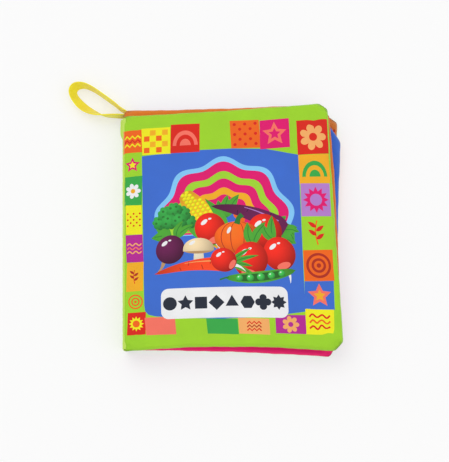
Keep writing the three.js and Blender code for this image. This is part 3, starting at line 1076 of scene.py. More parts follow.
def make_leaf(leaf, prints, material):
    """Both printed panels of a leaf, joined at the edge seam."""
    moved = fitted_pad(leaf, simulate_pad(leaf))
    points, faces, inks, places = [], [], [], []
    count = 0
    for side, sheet in ((1, prints[0]), (0, prints[1])):
        flat, triangles, corner_inks = cut_print(sheet)
        laid = panel_points(leaf, flat, moved, side)
        order = [0, 1, 2] if side == 0 else [2, 1, 0]
        points.append(laid)
        faces.append(triangles[:, order] + count)
        inks.append(corner_inks[:, order])
        places.append(flat[triangles][:, order] * MM)
        count += len(laid)
    faces = np.concatenate(faces)
    piece = mesh_piece(f"{LEAVES[leaf]}_pad", np.concatenate(points), faces, material)
    ink = piece.data.attributes.new("print", "FLOAT_COLOR", "CORNER")
    rgba = np.ones((len(faces) * 3, 4), np.float32)
    rgba[:, :3] = np.concatenate(inks).reshape(-1, 3)
    ink.data.foreach_set("color", rgba.ravel())
    set_uv(piece, np.concatenate(places).reshape(-1, 2))
    work = bmesh.new()
    work.from_mesh(piece.data)
    bmesh.ops.remove_doubles(work, verts=work.verts, dist=WELD)
    work.to_mesh(piece.data)
    work.free()
    return piece


# Shader node groups


def new_group(name, inputs, outputs):
    group = bpy.data.node_groups.new(name, "ShaderNodeTree")
    for label, kind, value in inputs:
        socket = group.interface.new_socket(label, in_out="INPUT", socket_type=kind)
        if value is not None:
            socket.default_value = value
    for label, kind in outputs:
        group.interface.new_socket(label, in_out="OUTPUT", socket_type=kind)
    return group, group.nodes.new("NodeGroupInput"), group.nodes.new("NodeGroupOutput")


def math_node(tree, operation, first, second=None):
    node = tree.nodes.new("ShaderNodeMath")
    node.operation = operation
    for socket, value in zip(node.inputs, (first, second)):
        if value is None:
            continue
        if isinstance(value, (int, float)):
            socket.default_value = value
        else:
            tree.links.new(value, socket)
    return node.outputs[0]


def weave_group():
    """Plain weave: height of the yarns, and a mask that is low between them, which the finishes use to paint
    shade into the gaps.
    """
    group, start, end = new_group(
        "plain_weave",
        [("Place", "NodeSocketVector", None), ("Pitch", "NodeSocketFloat", 0.0005)],
        [("Height", "NodeSocketFloat"), ("Between", "NodeSocketFloat")],
    )
    parts = group.nodes.new("ShaderNodeSeparateXYZ")
    group.links.new(start.outputs["Place"], parts.inputs[0])
    waves = []
    for axis in ("X", "Y"):
        turns = math_node(group, "DIVIDE", parts.outputs[axis], start.outputs["Pitch"])
        waves.append(math_node(group, "SINE", math_node(group, "MULTIPLY", turns, 2 * math.pi)))
    over = math_node(group, "MULTIPLY", waves[0], waves[1])
    height = math_node(group, "ADD", math_node(group, "MULTIPLY", over, 0.5), 0.5)
    valley = math_node(group, "ABSOLUTE", over)
    between = math_node(group, "MINIMUM", math_node(group, "MULTIPLY", valley, 3), 1)
    group.links.new(height, end.inputs["Height"])
    group.links.new(between, end.inputs["Between"])
    return group


def crumple_group():
    """Soft creases of a crumpled film under the cloth, and the slow unevenness of printed cloth."""
    group, start, end = new_group(
        "crumple",
        [("Place", "NodeSocketVector", None), ("Scale", "NodeSocketFloat", 70.0)],
        [("Height", "NodeSocketFloat"), ("Mottle", "NodeSocketFloat")],
    )
    warp = group.nodes.new("ShaderNodeTexNoise")
    warp.inputs["Scale"].default_value = 90
    warp.inputs["Detail"].default_value = 2
    group.links.new(start.outputs["Place"], warp.inputs["Vector"])
    shift = group.nodes.new("ShaderNodeVectorMath")
    shift.operation = "MULTIPLY_ADD"
    group.links.new(warp.outputs["Color"], shift.inputs[0])
    shift.inputs[1].default_value = (0.008, 0.008, 0.008)
    group.links.new(start.outputs["Place"], shift.inputs[2])
    cells = group.nodes.new("ShaderNodeTexVoronoi")
    cells.feature = "SMOOTH_F1"
    cells.inputs["Smoothness"].default_value = 0.35
    group.links.new(shift.outputs[0], cells.inputs["Vector"])
    group.links.new(start.outputs["Scale"], cells.inputs["Scale"])
    fine = group.nodes.new("ShaderNodeTexNoise")
    fine.inputs["Scale"].default_value = 260
    fine.inputs["Detail"].default_value = 3
    group.links.new(start.outputs["Place"], fine.inputs["Vector"])
    small = math_node(group, "MULTIPLY", fine.outputs[0], 0.25)
    height = math_node(group, "ADD", cells.outputs["Distance"], small)
    group.links.new(height, end.inputs["Height"])
    group.links.new(warp.outputs[0], end.inputs["Mottle"])
    return group


GROUPS = {}


def shared_group(name):
    makers = {"plain_weave": weave_group, "crumple": crumple_group}
    if name not in GROUPS:
        GROUPS[name] = makers[name]()
    return GROUPS[name]


class Finish:
    """A material with a Principled shader, and short ways to add nodes to it."""

    def __init__(self, name, roughness, colour):
        self.material = bpy.data.materials.new(name)
        self.material.use_nodes = True
        self.tree = self.material.node_tree
        self.shader = self.tree.nodes["Principled BSDF"]
        self.shader.inputs["Roughness"].default_value = roughness
        if colour is not None:
            self.shader.inputs["Base Color"].default_value = tuple(colour) + (1,)
            self.material.diffuse_color = tuple(colour) + (1,)

    def node(self, kind, **values):
        made = self.tree.nodes.new(kind)
        for label, value in values.items():
            made.inputs[label].default_value = value
        return made

    def group(self, name, place, **values):
        made = self.tree.nodes.new("ShaderNodeGroup")
        made.node_tree = shared_group(name)
        self.link(place, made.inputs["Place"])
        for label, value in values.items():
            made.inputs[label].default_value = value
        return made

    def texture(self, kind, **values):
        """A texture that lies in the piece's own space."""
        made = self.node(kind, **values)
        self.link(self.object_place(), made.inputs["Vector"])
        return made

    def link(self, source, target):
        self.tree.links.new(source, target)

    def feed(self, label, source):
        """Links a value into the shader."""
        self.link(source, self.shader.inputs[label])

    def uv(self):
        made = self.tree.nodes.new("ShaderNodeUVMap")
        made.uv_map = "cloth"
        return made.outputs["UV"]

    def object_place(self):
        return self.tree.nodes.new("ShaderNodeTexCoord").outputs["Object"]

    def mix(self, factor, first, second, kind="MIX"):
        made = self.tree.nodes.new("ShaderNodeMix")
        made.data_type = "RGBA"
        made.blend_type = kind
        for label, value in (("Factor", factor), ("A", first), ("B", second)):
            index = {"Factor": 0, "A": 6, "B": 7}[label]
            if isinstance(value, (int, float, tuple)):
                made.inputs[index].default_value = value
            else:
                self.link(value, made.inputs[index])
        return made.outputs[2]

    def scaled(self, value, low, high):
        """A mask from 0 to 1 spread between two values."""
        made = self.tree.nodes.new("ShaderNodeMapRange")
        self.link(value, made.inputs["Value"])
        made.inputs["To Min"].default_value = low
        made.inputs["To Max"].default_value = high
        return made.outputs[0]

    def bumps(self, *layers):
        """Bump nodes one after another, each a height, a strength and a distance in metres."""
        normal = None
        for height, strength, distance in layers:
            bump = self.node("ShaderNodeBump", Strength=strength, Distance=distance)
            self.link(height, bump.inputs["Height"])
            if normal is not None:
                self.link(normal, bump.inputs["Normal"])
            normal = bump.outputs[0]
        self.feed("Normal", normal)


def cloth_finish(name, colour=None):
    """Printed polyester cloth: the print comes from the piece's own attribute, or is one colour."""
    f = Finish(name, 0.8, colour)
    place = f.uv()
    weave = f.group("plain_weave", place, Pitch=sizes().weave_pitch)
    crumple = f.group("crumple", place, Scale=64.0)
    if colour is None:
        ink = f.tree.nodes.new("ShaderNodeAttribute")
        ink.attribute_name = "print"
        base = ink.outputs["Color"]
    else:
        base = tuple(colour) + (1,)
    # Painted shade: the cloth's colour darkens in the gaps between the yarns.
    between = f.scaled(weave.outputs["Between"], 0.9, 1.0)
    mottle = f.scaled(crumple.outputs["Mottle"], 0.9, 1.08)
    toned = f.mix(1.0, base, between, "MULTIPLY")
    toned = f.mix(1.0, toned, mottle, "MULTIPLY")
    f.feed("Base Color", toned)
    f.feed("Roughness", f.scaled(crumple.outputs["Mottle"], 0.7, 0.9))
    f.shader.inputs["Specular IOR Level"].default_value = 0.3
    f.shader.inputs["Sheen Weight"].default_value = 0.15
    f.shader.inputs["Sheen Roughness"].default_value = 0.4
    f.bumps((crumple.outputs["Height"], 0.35, 0.0006), (weave.outputs["Height"], 0.3, 0.00006))
    return f.material


RIB_PITCH = 0.55 * MM


def ribbon_finish():
    """Woven ribbon with fine ribs across it and a soft sheen."""
    f = Finish("yellow_ribbon", 0.5, colours().ribbon)
    place = f.uv()
    parts = f.tree.nodes.new("ShaderNodeSeparateXYZ")
    f.link(place, parts.inputs[0])
    turns = math_node(f.tree, "MULTIPLY", parts.outputs["X"], 2 * math.pi / RIB_PITCH)
    ribs = math_node(f.tree, "SINE", turns)
    weave = f.group("plain_weave", place, Pitch=0.0004)
    noise = f.texture("ShaderNodeTexNoise", Scale=300.0, Detail=3.0)
    slow = f.texture("ShaderNodeTexNoise", Scale=120.0, Detail=1.0)
    warmer = f.scaled(slow.outputs[0], -0.25, 0.75)
    toned = f.mix(warmer, tuple(colours().ribbon) + (1,), opaque(255, 214, 22))
    # Painted shade: the ribbon's colour darkens in the gaps between the yarns.
    toned = f.mix(1.0, toned, f.scaled(weave.outputs["Between"], 0.88, 1.0), "MULTIPLY")
    toned = f.mix(1.0, toned, f.scaled(noise.outputs[0], 0.9, 1.08), "MULTIPLY")
    f.feed("Base Color", toned)
    f.shader.inputs["Sheen Weight"].default_value = 0.2
    f.bumps((ribs, 0.4, 0.00008), (weave.outputs["Height"], 0.3, 0.00004))
    return f.material


def thread_finish():
    """Sewing thread: two twisted plies, seen as slanting bands."""
    f = Finish("seam_thread", 0.55, linear(190, 224, 108))
    twist = f.texture("ShaderNodeTexWave", Scale=900.0)
    twist.bands_direction = "DIAGONAL"
    toned = f.mix(f.scaled(twist.outputs["Fac"], 0.0, 0.5), opaque(208, 234, 126), opaque(164, 204, 84))
    f.feed("Base Color", toned)
    f.bumps((twist.outputs["Fac"], 0.5, 0.00008))
    return f.material


def film_finish():
    """Crumpled clear-white film with a gloss on its facets."""
    f = Finish("crinkle_film", 0.18, linear(232, 236, 240))
    crumple = f.group("crumple", f.object_place(), Scale=220.0)
    f.feed("Roughness", f.scaled(crumple.outputs["Mottle"], 0.1, 0.3))
    # Painted shade: the film is darker along its creases.
    toned = f.mix(f.scaled(crumple.outputs["Height"], 0.0, 0.4), opaque(238, 242, 246), opaque(206, 214, 222))
    f.feed("Base Color", toned)
    f.bumps((crumple.outputs["Height"], 0.8, 0.0004))
    return f.material


def wadding_finish():
    """Fibrous white wadding."""
    f = Finish("wadding", 0.95, linear(244, 243, 238))
    fibre = f.texture("ShaderNodeTexNoise", Scale=900.0, Detail=6.0, Distortion=2.0)
    toned = f.mix(fibre.outputs[0], opaque(250, 249, 245), opaque(222, 220, 212))
    f.feed("Base Color", toned)
    f.bumps((fibre.outputs[0], 0.9, 0.0004))
    return f.material


# Operators, one for each piece or group of like pieces


class BOOK_OT_leaves(bpy.types.Operator):
    """Makes the four padded leaves with their printed panels"""

    bl_idname = "book.leaves"
    bl_label = "Padded leaves"

    def execute(self, context):
        material = cloth_finish("printed_cloth")
        for leaf, prints in enumerate(page_prints()):
            piece = make_leaf(leaf, prints, material)
            name = LEAVES[leaf]
            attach(piece, name)
            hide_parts(f"{name}_upper_cloth", f"{name}_lower_cloth")
        return {"FINISHED"}


def fill_grid(leaf, grid):
    """Places inside a leaf for its filling, and the room between the seam's level and a panel."""
    p, q = np.meshgrid(*(np.linspace(-1, 1, count + 1) for count in grid), indexing="ij")
    reach = FILL_REACH * (1 - FILL_CORNERS * p * p * q * q)
    a, b = p * reach, q * reach
    x, y = leaf_outline(leaf, a, b)
    return x, y, pillow(a, b) * sizes().leaf_thickness / 2 * FILL_ROOM


def two_skins(name, x, y, top, bottom, material):
    """A closed thin body between two heights over the same grid."""
    rows, columns = x.shape
    skins = [np.stack([x, y, z], axis=-1).reshape(-1, 3) for z in (top, bottom)]
    index = np.arange(rows * columns).reshape(rows, columns)
    faces = []
    for i in range(rows - 1):
        for j in range(columns - 1):
            quad = [index[i, j], index[i + 1, j], index[i + 1, j + 1], index[i, j + 1]]
            faces.append(quad)
            faces.append([v + rows * columns for v in quad[::-1]])
    rim = list(index[:-1, 0]) + list(index[-1, :-1]) + list(index[:0:-1, -1]) + list(index[0, :0:-1])
    for here, after in zip(rim, rim[1:] + rim[:1]):
        faces.append([here, here + rows * columns, after + rows * columns, after])
    return mesh_piece(name, np.concatenate(skins), faces, material)


class BOOK_OT_fillings(bpy.types.Operator):
    """Makes the sheet of crumpled film and the sheet of wadding in each leaf"""

    bl_idname = "book.fillings"
    bl_label = "Film and wadding"

    def execute(self, context):
        film, wadding = film_finish(), wadding_finish()
        for leaf, name in enumerate(LEAVES):
            rng = np.random.default_rng(FILM_SEED + leaf)
            x, y, room = fill_grid(leaf, FILM_GRID)
            creases = np.zeros_like(x)
            for way in rng.uniform(0, math.pi, FILM_CREASES):
                facet = rng.uniform(*FACET_WIDTH)
                along = (x * math.cos(way) + y * math.sin(way)) / facet + rng.uniform(0, 1)
                creases += np.abs(2 * (along - np.floor(along)) - 1) - 0.5
            creases /= np.abs(creases).max()
            middle = leaf_middle(leaf)
            play = (room - FILM_CLEAR).clip(0) * FILM_PLAY
            level = middle + room * FILM_LEVEL + creases * play
            piece = two_skins(f"{name}_film", x, y, level + FILM_HALF, level - FILM_HALF, film)
            piece.data.polygons.foreach_set("use_smooth", [False] * len(piece.data.polygons))
            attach(piece, name)
            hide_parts(f"{name}_crinkle_film")
            x, y, room = fill_grid(leaf, WADDING_GRID)
            top = middle + TUFT * rng.standard_normal(x.shape)
            piece = two_skins(f"{name}_fill", x, y, top, top - room * WADDING_SHARE, wadding)
            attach(piece, name)
            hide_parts(f"{name}_wadding")
        return {"FINISHED"}


def begin_edit(piece):
    """Opens a piece alone in edit mode, with nothing selected on it."""
    bpy.ops.object.select_all(action="DESELECT")
    piece.select_set(True)
    bpy.context.view_layer.objects.active = piece
    bpy.ops.object.mode_set(mode="EDIT")
    bpy.ops.mesh.select_mode(type="VERT")
    bpy.ops.mesh.select_all(action="DESELECT")


def pick(piece, test):
    """Selects the points of a piece in edit mode whose place passes a test, and the faces between."""
    work = bmesh.from_edit_mesh(piece.data)
    for vert in work.verts:
        vert.select_set(bool(test(vert.co)))
    work.select_flush_mode()
    bmesh.update_edit_mesh(piece.data)


def leaf_run(leaf):
    """Where the spine side of a leaf starts at the foot and ends at the head."""
    return (sizes().page_height * LEAF_SHARES[leaf][end] for end in ("foot_spine", "head_spine"))


def spine_run():
    """The same for the spine cloth."""
    foot, head = leaf_run(TOP_LEAF)
    return foot + SPINE_END, head - SPINE_END


def spine_face():
    """Where the outer face of the spine cloth lies."""
    return SPINE_INSET - sizes().page_width / 2


def spine_band(name, low, high, rows):
    """A flat sheet on the face of the spine, between two heights."""
    foot, head = spine_run()
    bpy.ops.object.select_all(action="DESELECT")
    middle = (spine_face(), (foot + head) / 2, (low + high) / 2)
    bpy.ops.mesh.primitive_grid_add(
        x_subdivisions=rows, y_subdivisions=SPINE_ROWS, size=1,
        location=middle, rotation=(0, -math.pi / 2, 0))
    piece = bpy.context.object
    piece.name = piece.data.name = name
    bpy.ops.object.transform_apply(location=True, rotation=True, scale=True)
    begin_edit(piece)
    bpy.ops.mesh.select_all(action="SELECT")
    bpy.ops.transform.resize(value=(1, head - foot, high - low), center_override=middle)
    bpy.ops.object.mode_set(mode="OBJECT")
    return piece


def lap_sheet(name, sign):
    """The sheet from the seam of a cover round the corner of the spine and down onto the cover."""
    seam = leaf_middle(TOP_LEAF if sign > 0 else 0)
    corner = seam + sign * (SPINE_RISE + SPINE_CLOTH - SPINE_RADIUS)
    piece = spine_band(name, min(seam, corner), max(seam, corner), 1)
    begin_edit(piece)
    pick(piece, lambda place: abs(place.z - corner) < WELD)
    centre = (spine_face() + SPINE_RADIUS, 0, corner)
    bpy.ops.mesh.spin(steps=BEND_STEPS, angle=-sign * math.pi / 2, center=centre, axis=(0, 1, 0))
    for across, down in LAP_TURN:
        bpy.ops.mesh.extrude_region_move(TRANSFORM_OT_translate={"value": (across, 0, -sign * down)})
    bpy.ops.object.mode_set(mode="OBJECT")
    return piece


def lap_drop(leaf, y):
    """How much nearer the seam a lap lies towards the head and the foot, where its pad is thinner."""
    s = sizes()
    foot, head = leaf_run(leaf)
    across = LAP_PROBE / s.page_width - 1
    along = 2 * (y - foot) / (head - foot) - 1
    middle, here = pillow(np.array([across, across]), np.array([0.0, along]))
    return float(middle - here) * s.leaf_thickness / 2


def eased(value, start, end):
    """0 before the start, 1 past the end, and a soft rise between them."""
    share = min(max((value - start) / (end - start), 0), 1)
    return share * share * (3 - 2 * share)


def sew_in(piece):
    """Gives a sheet of spine cloth its thickness, its small puckers and its bulge low at the head, where the
    ends of the loop push it out."""
    head = spine_run()[1]
    spine = spine_face()
    begin_edit(piece)
    bpy.ops.mesh.select_all(action="SELECT")
    bpy.ops.mesh.normals_make_consistent(inside=False)
    face = min(bmesh.from_edit_mesh(piece.data).faces, key=lambda f: f.calc_center_median().x)
    if face.normal.x > 0:
        bpy.ops.mesh.flip_normals()
    bpy.ops.object.mode_set(mode="OBJECT")
    solid = piece.modifiers.new("cloth thickness", "SOLIDIFY")
    solid.thickness = SPINE_CLOTH
    solid.offset = -1
    solid.use_even_offset = True
    bpy.ops.object.modifier_apply(modifier=solid.name)
    low, high = leaf_middle(0), leaf_middle(TOP_LEAF)
    for vert in piece.data.vertices:
        over = max(vert.co.z - high, 0) - max(low - vert.co.z, 0)
        leaf = TOP_LEAF if over > 0 else 0
        vert.co.z -= lap_drop(leaf, vert.co.y) * max(-1, min(1, over / SPINE_RISE))
        y, rise = vert.co.y / MM, (vert.co.z - low) / (high - low)
        pucker = sum(depth * math.sin(y * pace + start) for depth, pace, start in PUCKERS)
        lower = 1 - eased(rise, *LOWER_FOLDS)
        bulge = BULGE * eased(vert.co.y, head - BULGE_START, head - BULGE_FULL)
        bulge *= 1 - BULGE_LOSS * eased(vert.co.y, head - BULGE_EASE, head)
        waver = math.sin(y * SWELL_PACE[0] + rise * SWELL_PACE[1])
        swell = (SWELL + SWELL_WAVER * waver) * eased(rise, 0, SWELL_START)
        near_face = 1 - eased(vert.co.x, spine, spine + SPINE_RADIUS + SPINE_CLOTH)
        vert.co.x += pucker - near_face * lower * (bulge + swell)
        vert.co.y += near_face * lower * BULGE_LIFT * eased(vert.co.y, head - BULGE_FULL, head)
    piece.data.update()
    bpy.ops.object.shade_smooth_by_angle(angle=math.radians(50))
    mesh = piece.data
    while mesh.uv_layers:
        mesh.uv_layers.remove(mesh.uv_layers[0])
    places = [mesh.vertices[loop.vertex_index].co for loop in mesh.loops]
    set_uv(piece, [(place.y, place.z - place.x) for place in places])


def print_lap(piece, patches):
    """Carries the patches beside the spine on over the edge of the front lap, paler there under a painted
    highlight.
    """
    s = sizes()
    spine = -s.page_width / 2
    start = spine + LAP_PRINT_START
    # A pale lime wash mixed into the lap's print: a painted highlight along the spine edge.
    pale = np.array(linear(236, 240, 180))
    spans = []
    for (left, foot, _, head), colour, *_ in patches:
        shares = (y * MM / (s.page_height / 2) for y in (foot, head))
        low, high = (float(leaf_outline(TOP_LEAF, -1.0, share)[1]) for share in shares)
        spans.append((max(start, spine + left * MM), low, high, colour))
    begin_edit(piece)
    cuts = [((start, 0, 0), (1, 0, 0))] + [((0, edge, 0), (0, 1, 0)) for span in spans for edge in span[1:3]]
    for place, normal in cuts:
        bpy.ops.mesh.select_all(action="SELECT")
        bpy.ops.mesh.bisect(plane_co=place, plane_no=normal)
    bpy.ops.object.mode_set(mode="OBJECT")
    ink = piece.data.attributes.new("print", "FLOAT_COLOR", "CORNER")
    for face in piece.data.polygons:
        # Outside the patches the lap takes the spine's ground, which is partly a painted highlight.
        ground = colours().spine
        for left, low, high, colour in spans:
            if colour and face.center.x > left and low < face.center.y < high:
                ground = LAP_INK_UNDER_HIGHLIGHT * np.array(INK[colour]) + (1 - LAP_INK_UNDER_HIGHLIGHT) * pale
        for corner in face.loop_indices:
            ink.data[corner].color = tuple(ground) + (1,)


class BOOK_OT_spine(bpy.types.Operator):
    """Makes the cloth round the spine, cut where it bends, and the two seams beside it"""

    bl_idname = "book.spine"
    bl_label = "Spine cloth and seams"

    def execute(self, context):
        s = sizes()
        # The plain spine cloth takes the spine's ground, which is partly a painted highlight.
        plain = cloth_finish("spine_cloth", tuple(colours().spine))
        printed = bpy.data.materials["printed_cloth"]
        made = []
        for kind, sign, material in (("back", -1, plain), ("front", 1, printed)):
            piece = lap_sheet(f"spine_lap_{kind}", sign)
            if sign > 0:
                print_lap(piece, LEFT_PATCHES)
            sew_in(piece)
            piece.data.materials.append(material)
            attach(piece, f"{kind}_cover")
            made.append(piece)
        for leaf in range(TOP_LEAF):
            low, high = leaf_middle(leaf), leaf_middle(leaf + 1)
            piece = spine_band(f"spine_fold_{leaf + 1}", low, high, FOLD_ROWS)
            sew_in(piece)
            piece.data.materials.append(plain)
            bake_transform(piece)
            made.append(piece)
        for piece in made:
            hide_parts("spine_cloth")
        self.sew(s)
        return {"FINISHED"}

    def stitch(self, place):
        """One stitch: a rounded bar of thread that is thickest in its middle and dips at its ends."""
        bpy.ops.object.select_all(action="DESELECT")
        bpy.ops.mesh.primitive_cylinder_add(
            vertices=STITCH_SIDES, radius=STITCH_WIDTH / 2, depth=STITCH_LENGTH, end_fill_type="NGON",
            location=place, rotation=(math.pi / 2, 0, 0))
        piece = bpy.context.object
        bpy.ops.object.transform_apply(location=True, rotation=True, scale=True)
        begin_edit(piece)
        for sign in (-1, 1):
            for along, width in STITCH_TAPER:
                end = max(sign * v.co.y for v in bmesh.from_edit_mesh(piece.data).verts)
                pick(piece, lambda spot: sign * spot.y > end - WELD / 10)
                bpy.ops.mesh.extrude_region_move(TRANSFORM_OT_translate={"value": (0, sign * along, 0)})
                tip = (place[0], sign * (end + along), place[2])
                bpy.ops.transform.resize(value=(width, 1, width), center_override=tip)
        bpy.ops.object.mode_set(mode="OBJECT")
        bpy.ops.object.shade_smooth_by_angle(angle=math.radians(60))
        return piece

    def sew(self, s):
        """One stitch is shaped, and copied along each seam at the height of the lap there."""
        thread = thread_finish()
        foot, head = spine_run()
        foot, head = foot + SEAM_MARGIN, head - SEAM_MARGIN
        count = int((head - foot) / STITCH_PITCH)
        step = (head - foot) / count
        for kind, leaf, sign in (("front", TOP_LEAF, 1), ("back", 0, -1)):
            x = SPINE_LIP + SEAM_OFFSET - s.page_width / 2
            z = leaf_middle(leaf) + sign * (SPINE_RISE + SPINE_CLOTH - STITCH_SINK)
            drop = lap_drop(leaf, foot + step / 2)
            first = self.stitch((x, foot + step / 2, z - sign * drop))
            stitches = [first]
            for k in range(1, count):
                bpy.ops.object.select_all(action="DESELECT")
                first.select_set(True)
                bpy.context.view_layer.objects.active = first
                bpy.ops.object.duplicate(linked=False)
                change = lap_drop(leaf, foot + (k + 0.5) * step) - drop
                bpy.ops.transform.translate(value=(0, k * step, -sign * change))
                stitches.append(bpy.context.object)
            for stitch in stitches:
                stitch.select_set(True)
            bpy.context.view_layer.objects.active = first
            bpy.ops.object.join()
            bpy.ops.object.transform_apply(location=True, rotation=True, scale=True)
            seam = bpy.context.object
            seam.name = seam.data.name = f"{kind}_cover_seam"
            seam.data.materials.append(thread)
            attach(seam, f"{kind}_cover")
            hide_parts(f"{kind}_seam_thread")


# Route of the ribbon loop, as in the solids: shares of its reach from its root, which is a share of the page
# height, and how far its upper edge leans out
LOOP_REACH = 31 * MM
LOOP_ROOT = 0.492
LOOP_ROUTE = (
    (0.075, 0.06, 0.0),
    (-0.06, 0.15, 0.0),
    (-0.18, 0.255, 0.02),
    (-0.37, 0.402, 0.03),
    (-0.525, 0.512, 0.05),
    (-0.65, 0.572, 0.1),
    (-0.755, 0.58, 0.22),
    (-0.83, 0.545, 0.38),
    (-0.86, 0.47, 0.5),
    (-0.825, 0.37, 0.62),
    (-0.73, 0.25, 0.75),
    (-0.625, 0.163, 0.72),
    (-0.48, 0.088, 0.5),
    (-0.335, 0.045, 0.2),
    (-0.17, 0.033, 0.06),
    (0.075, 0.015, 0.0),
)
LOOP_STATIONS = 181
RIBBON_THICKNESS = 0.8 * MM
TABLE_GAP = 0.2 * MM

# Half of the ribbon's section, as shares of half its width and of its face: the edges are woven thicker
RIBBON_SHARES = (
    (-1.0, 0.0), (-0.985, 0.62), (-0.93, 1.0), (-0.86, 0.8), (-0.45, 0.82),
    (0.0, 0.84), (0.45, 0.82), (0.86, 0.8), (0.93, 1.0), (0.985, 0.62),
)
RIBBON_FACE = 0.42 * RIBBON_THICKNESS


def loop_stations(steps):
    """Middle of the ribbon, the way its width points and the way its face points, along the route."""
    s = sizes()
    table = np.array(LOOP_ROUTE)[:, None, :]
    u = np.linspace(0, len(LOOP_ROUTE) - 1, steps)
    read = smooth_read(np.repeat(table, 2, axis=1), u, np.zeros(steps))
    x = LOOP_REACH * read[:, 0] - s.page_width / 2
    y = s.page_height * LOOP_ROOT + LOOP_REACH * read[:, 1]
    lean = read[:, 2]
    way = np.gradient(np.stack([x, y], axis=1), axis=0)
    way /= np.linalg.norm(way, axis=1, keepdims=True)
    out = np.stack([way[:, 1], -way[:, 0], np.zeros(steps)], axis=1)
    rise = np.array([0.0, 0.0, 1.0])
    width = np.cos(lean)[:, None] * rise + np.sin(lean)[:, None] * out
    face = -np.sin(lean)[:, None] * rise + np.cos(lean)[:, None] * out
    z = TABLE_GAP + (s.ribbon_width * np.abs(width[:, 2]) + RIBBON_THICKNESS * np.abs(face[:, 2])) / 2
    return np.stack([x, y, z], axis=1), width, face


class BOOK_OT_loop(bpy.types.Operator):
    """Makes the hanging loop of flat ribbon, sewn in at the head of the spine"""

    bl_idname = "book.loop"
    bl_label = "Ribbon loop"

    def execute(self, context):
        s = sizes()
        middle, width, face = loop_stations(LOOP_STATIONS)
        half = s.ribbon_width / 2
        section = RIBBON_SHARES + tuple((-w, -t) for w, t in RIBBON_SHARES)
        along = np.concatenate([[0], np.cumsum(np.linalg.norm(np.diff(middle, axis=0), axis=1))])
        points, faces, uvs = [], [], []
        size = len(section)
        for k in range(len(middle)):
            for w, t in section:
                points.append(middle[k] + w * half * width[k] + t * RIBBON_FACE * face[k])
        for k in range(len(middle) - 1):
            for p in range(size):
                q = (p + 1) % size
                faces.append((k * size + p, k * size + q, (k + 1) * size + q, (k + 1) * size + p))
                for row, column in ((k, p), (k, q), (k + 1, q), (k + 1, p)):
                    uvs.append((along[row], section[column][0] * half))
        for first, flip in ((0, True), ((len(middle) - 1) * size, False)):
            face_points = [first + p for p in range(size)]
            faces.append(face_points[::-1] if flip else face_points)
            uvs += [(0.0, 0.0)] * size
        piece = mesh_piece("ribbon_loop", points, faces, ribbon_finish())
        set_uv(piece, uvs)
        work = bmesh.new()
        work.from_mesh(piece.data)
        bmesh.ops.recalc_face_normals(work, faces=work.faces)
        work.to_mesh(piece.data)
        work.free()
        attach(piece, "back_cover")
        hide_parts("hanging_loop")
        return {"FINISHED"}


def seen_rays(tree):
    """1 for what the camera sees straight or through a gloss, and 0 for light on its way."""
    path = tree.nodes.new("ShaderNodeLightPath")
    seen = math_node(tree, "MAXIMUM", path.outputs["Is Camera Ray"], path.outputs["Is Glossy Ray"])
    return math_node(tree, "MAXIMUM", seen, path.outputs["Is Transmission Ray"])


# Lamps: place, strength and softness in degrees
LAMPS = {
    "key": ((-0.35, 0.45, 0.75), 0.68, 50),
    "fill": ((0.55, -0.35, 0.7), 0.42, 60),
}

# Camera: what it looks at, from the spine, how far away it is, its height and roll, and its lens as read from
# the picture, in pixels
CAMERA_TARGET = (50.54 * MM, -1.71 * MM, 7 * MM)
CAMERA_AWAY = 500 * MM
CAMERA_HEIGHT = math.radians(78)
CAMERA_ROLL = -0.0217
FOCAL_PIXELS = 999.37
PICTURE_WIDTH_PIXELS = 449
SENSOR_WIDTH = 36

# Size of the floor, how much it glows to the camera, and the white room as light and to the camera
FLOOR_SIZE = 6
FLOOR_GLOW = 0.5
ROOM_LIGHT = 0.7
ROOM_SEEN = 1.0


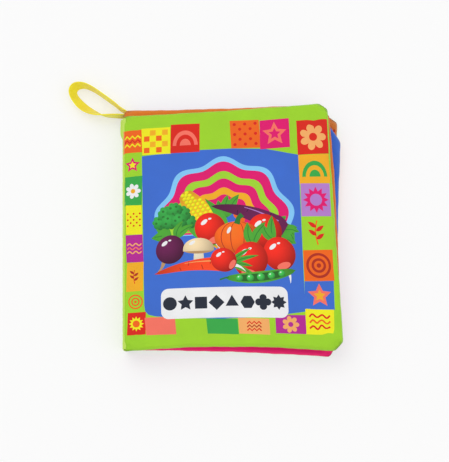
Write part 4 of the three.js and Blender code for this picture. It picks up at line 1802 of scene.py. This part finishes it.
class BOOK_OT_stage(bpy.types.Operator):
    """Makes the camera, the floor, the lamps and the white surroundings"""

    bl_idname = "book.stage"
    bl_label = "Stage"

    def execute(self, context):
        self.camera(context)
        self.floor()
        self.surroundings(context)
        for name, (place, strength, softness) in LAMPS.items():
            lamp = bpy.data.objects.new(name, bpy.data.lights.new(name, "SUN"))
            lamp.data.energy = strength
            lamp.data.angle = math.radians(softness)
            lamp.location = place
            lamp.rotation_euler = (-Vector(place)).to_track_quat("-Z", "Y").to_euler()
            context.scene.collection.objects.link(lamp)
        return {"FINISHED"}

    def camera(self, context):
        """Half a metre away, 78 degrees above the table, turned a little about its own axis."""
        back = Vector((0, -math.cos(CAMERA_HEIGHT), math.sin(CAMERA_HEIGHT)))
        right = Vector((1, 0, 0))
        up = back.cross(right)
        side = right * math.cos(CAMERA_ROLL) + up * math.sin(CAMERA_ROLL)
        top = up * math.cos(CAMERA_ROLL) - right * math.sin(CAMERA_ROLL)
        target = Vector(CAMERA_TARGET) - right * sizes().page_width / 2
        place = target + back * CAMERA_AWAY
        camera = bpy.data.objects.new("camera", bpy.data.cameras.new("camera"))
        camera.matrix_world = Matrix((
            (side.x, top.x, back.x, place.x),
            (side.y, top.y, back.y, place.y),
            (side.z, top.z, back.z, place.z),
            (0, 0, 0, 1),
        ))
        camera.data.sensor_fit = "HORIZONTAL"
        camera.data.sensor_width = SENSOR_WIDTH
        camera.data.lens = SENSOR_WIDTH * FOCAL_PIXELS / PICTURE_WIDTH_PIXELS
        camera.data.clip_start = 10 * MM
        context.scene.collection.objects.link(camera)
        context.scene.camera = camera

    def floor(self):
        """Pale and plain. It glows a little to the camera, so that it is white beside the soft shadow."""
        bpy.ops.object.select_all(action="DESELECT")
        bpy.ops.mesh.primitive_plane_add(size=FLOOR_SIZE, location=(0, 0, 0))
        floor = bpy.context.object
        floor.name = "floor"
        f = Finish("pale_floor", 0.9, linear(246, 246, 246))
        noise = f.texture("ShaderNodeTexNoise", Scale=40.0, Detail=2.0)
        toned = f.mix(f.scaled(noise.outputs[0], 0.0, 0.3), opaque(252, 252, 252), opaque(247, 247, 248))
        seen = seen_rays(f.tree)
        toned = f.mix(seen, toned, opaque(182, 182, 182))
        f.feed("Base Color", toned)
        f.shader.inputs["Emission Color"].default_value = (1, 1, 1, 1)
        f.feed("Emission Strength", math_node(f.tree, "MULTIPLY", seen, FLOOR_GLOW))
        floor.data.materials.append(f.material)

    def surroundings(self, context):
        """White to the camera, and a softer white as light."""
        world = bpy.data.worlds.new("white_room")
        world.use_nodes = True
        tree = world.node_tree
        back = tree.nodes["Background"]
        back.inputs["Color"].default_value = (1, 1, 1, 1)
        more = math_node(tree, "MULTIPLY", seen_rays(tree), ROOM_SEEN - ROOM_LIGHT)
        strength = math_node(tree, "ADD", more, ROOM_LIGHT)
        tree.links.new(strength, back.inputs["Strength"])
        context.scene.world = world
        context.scene.view_settings.view_transform = "Standard"


class BOOK_PT_panel(bpy.types.Panel):
    """Lists the pieces of the book and its sizes and colours"""

    bl_label = "Cloth book"
    bl_idname = "BOOK_PT_panel"
    bl_space_type = "VIEW_3D"
    bl_region_type = "UI"
    bl_category = "Cloth book"

    def draw(self, context):
        for operator in (BOOK_OT_stage, BOOK_OT_loop, BOOK_OT_leaves, BOOK_OT_fillings, BOOK_OT_spine):
            self.layout.operator(operator.bl_idname)
        for group in (context.scene.book_sizes, context.scene.book_colours):
            for name in type(group).__annotations__:
                self.layout.prop(group, name)


CLASSES = (
    BookSizes,
    BookColours,
    BOOK_OT_stage,
    BOOK_OT_loop,
    BOOK_OT_leaves,
    BOOK_OT_fillings,
    BOOK_OT_spine,
    BOOK_PT_panel,
)


def register():
    for made in CLASSES:
        bpy.utils.register_class(made)
    bpy.types.Scene.book_sizes = bpy.props.PointerProperty(type=BookSizes)
    bpy.types.Scene.book_colours = bpy.props.PointerProperty(type=BookColours)


def unregister():
    del bpy.types.Scene.book_colours
    del bpy.types.Scene.book_sizes
    for made in reversed(CLASSES):
        bpy.utils.unregister_class(made)


def main():
    register()
    bpy.ops.book.stage()
    bpy.ops.book.loop()
    bpy.ops.book.leaves()
    bpy.ops.book.fillings()
    bpy.ops.book.spine()


if __name__ == "__main__":
    main()
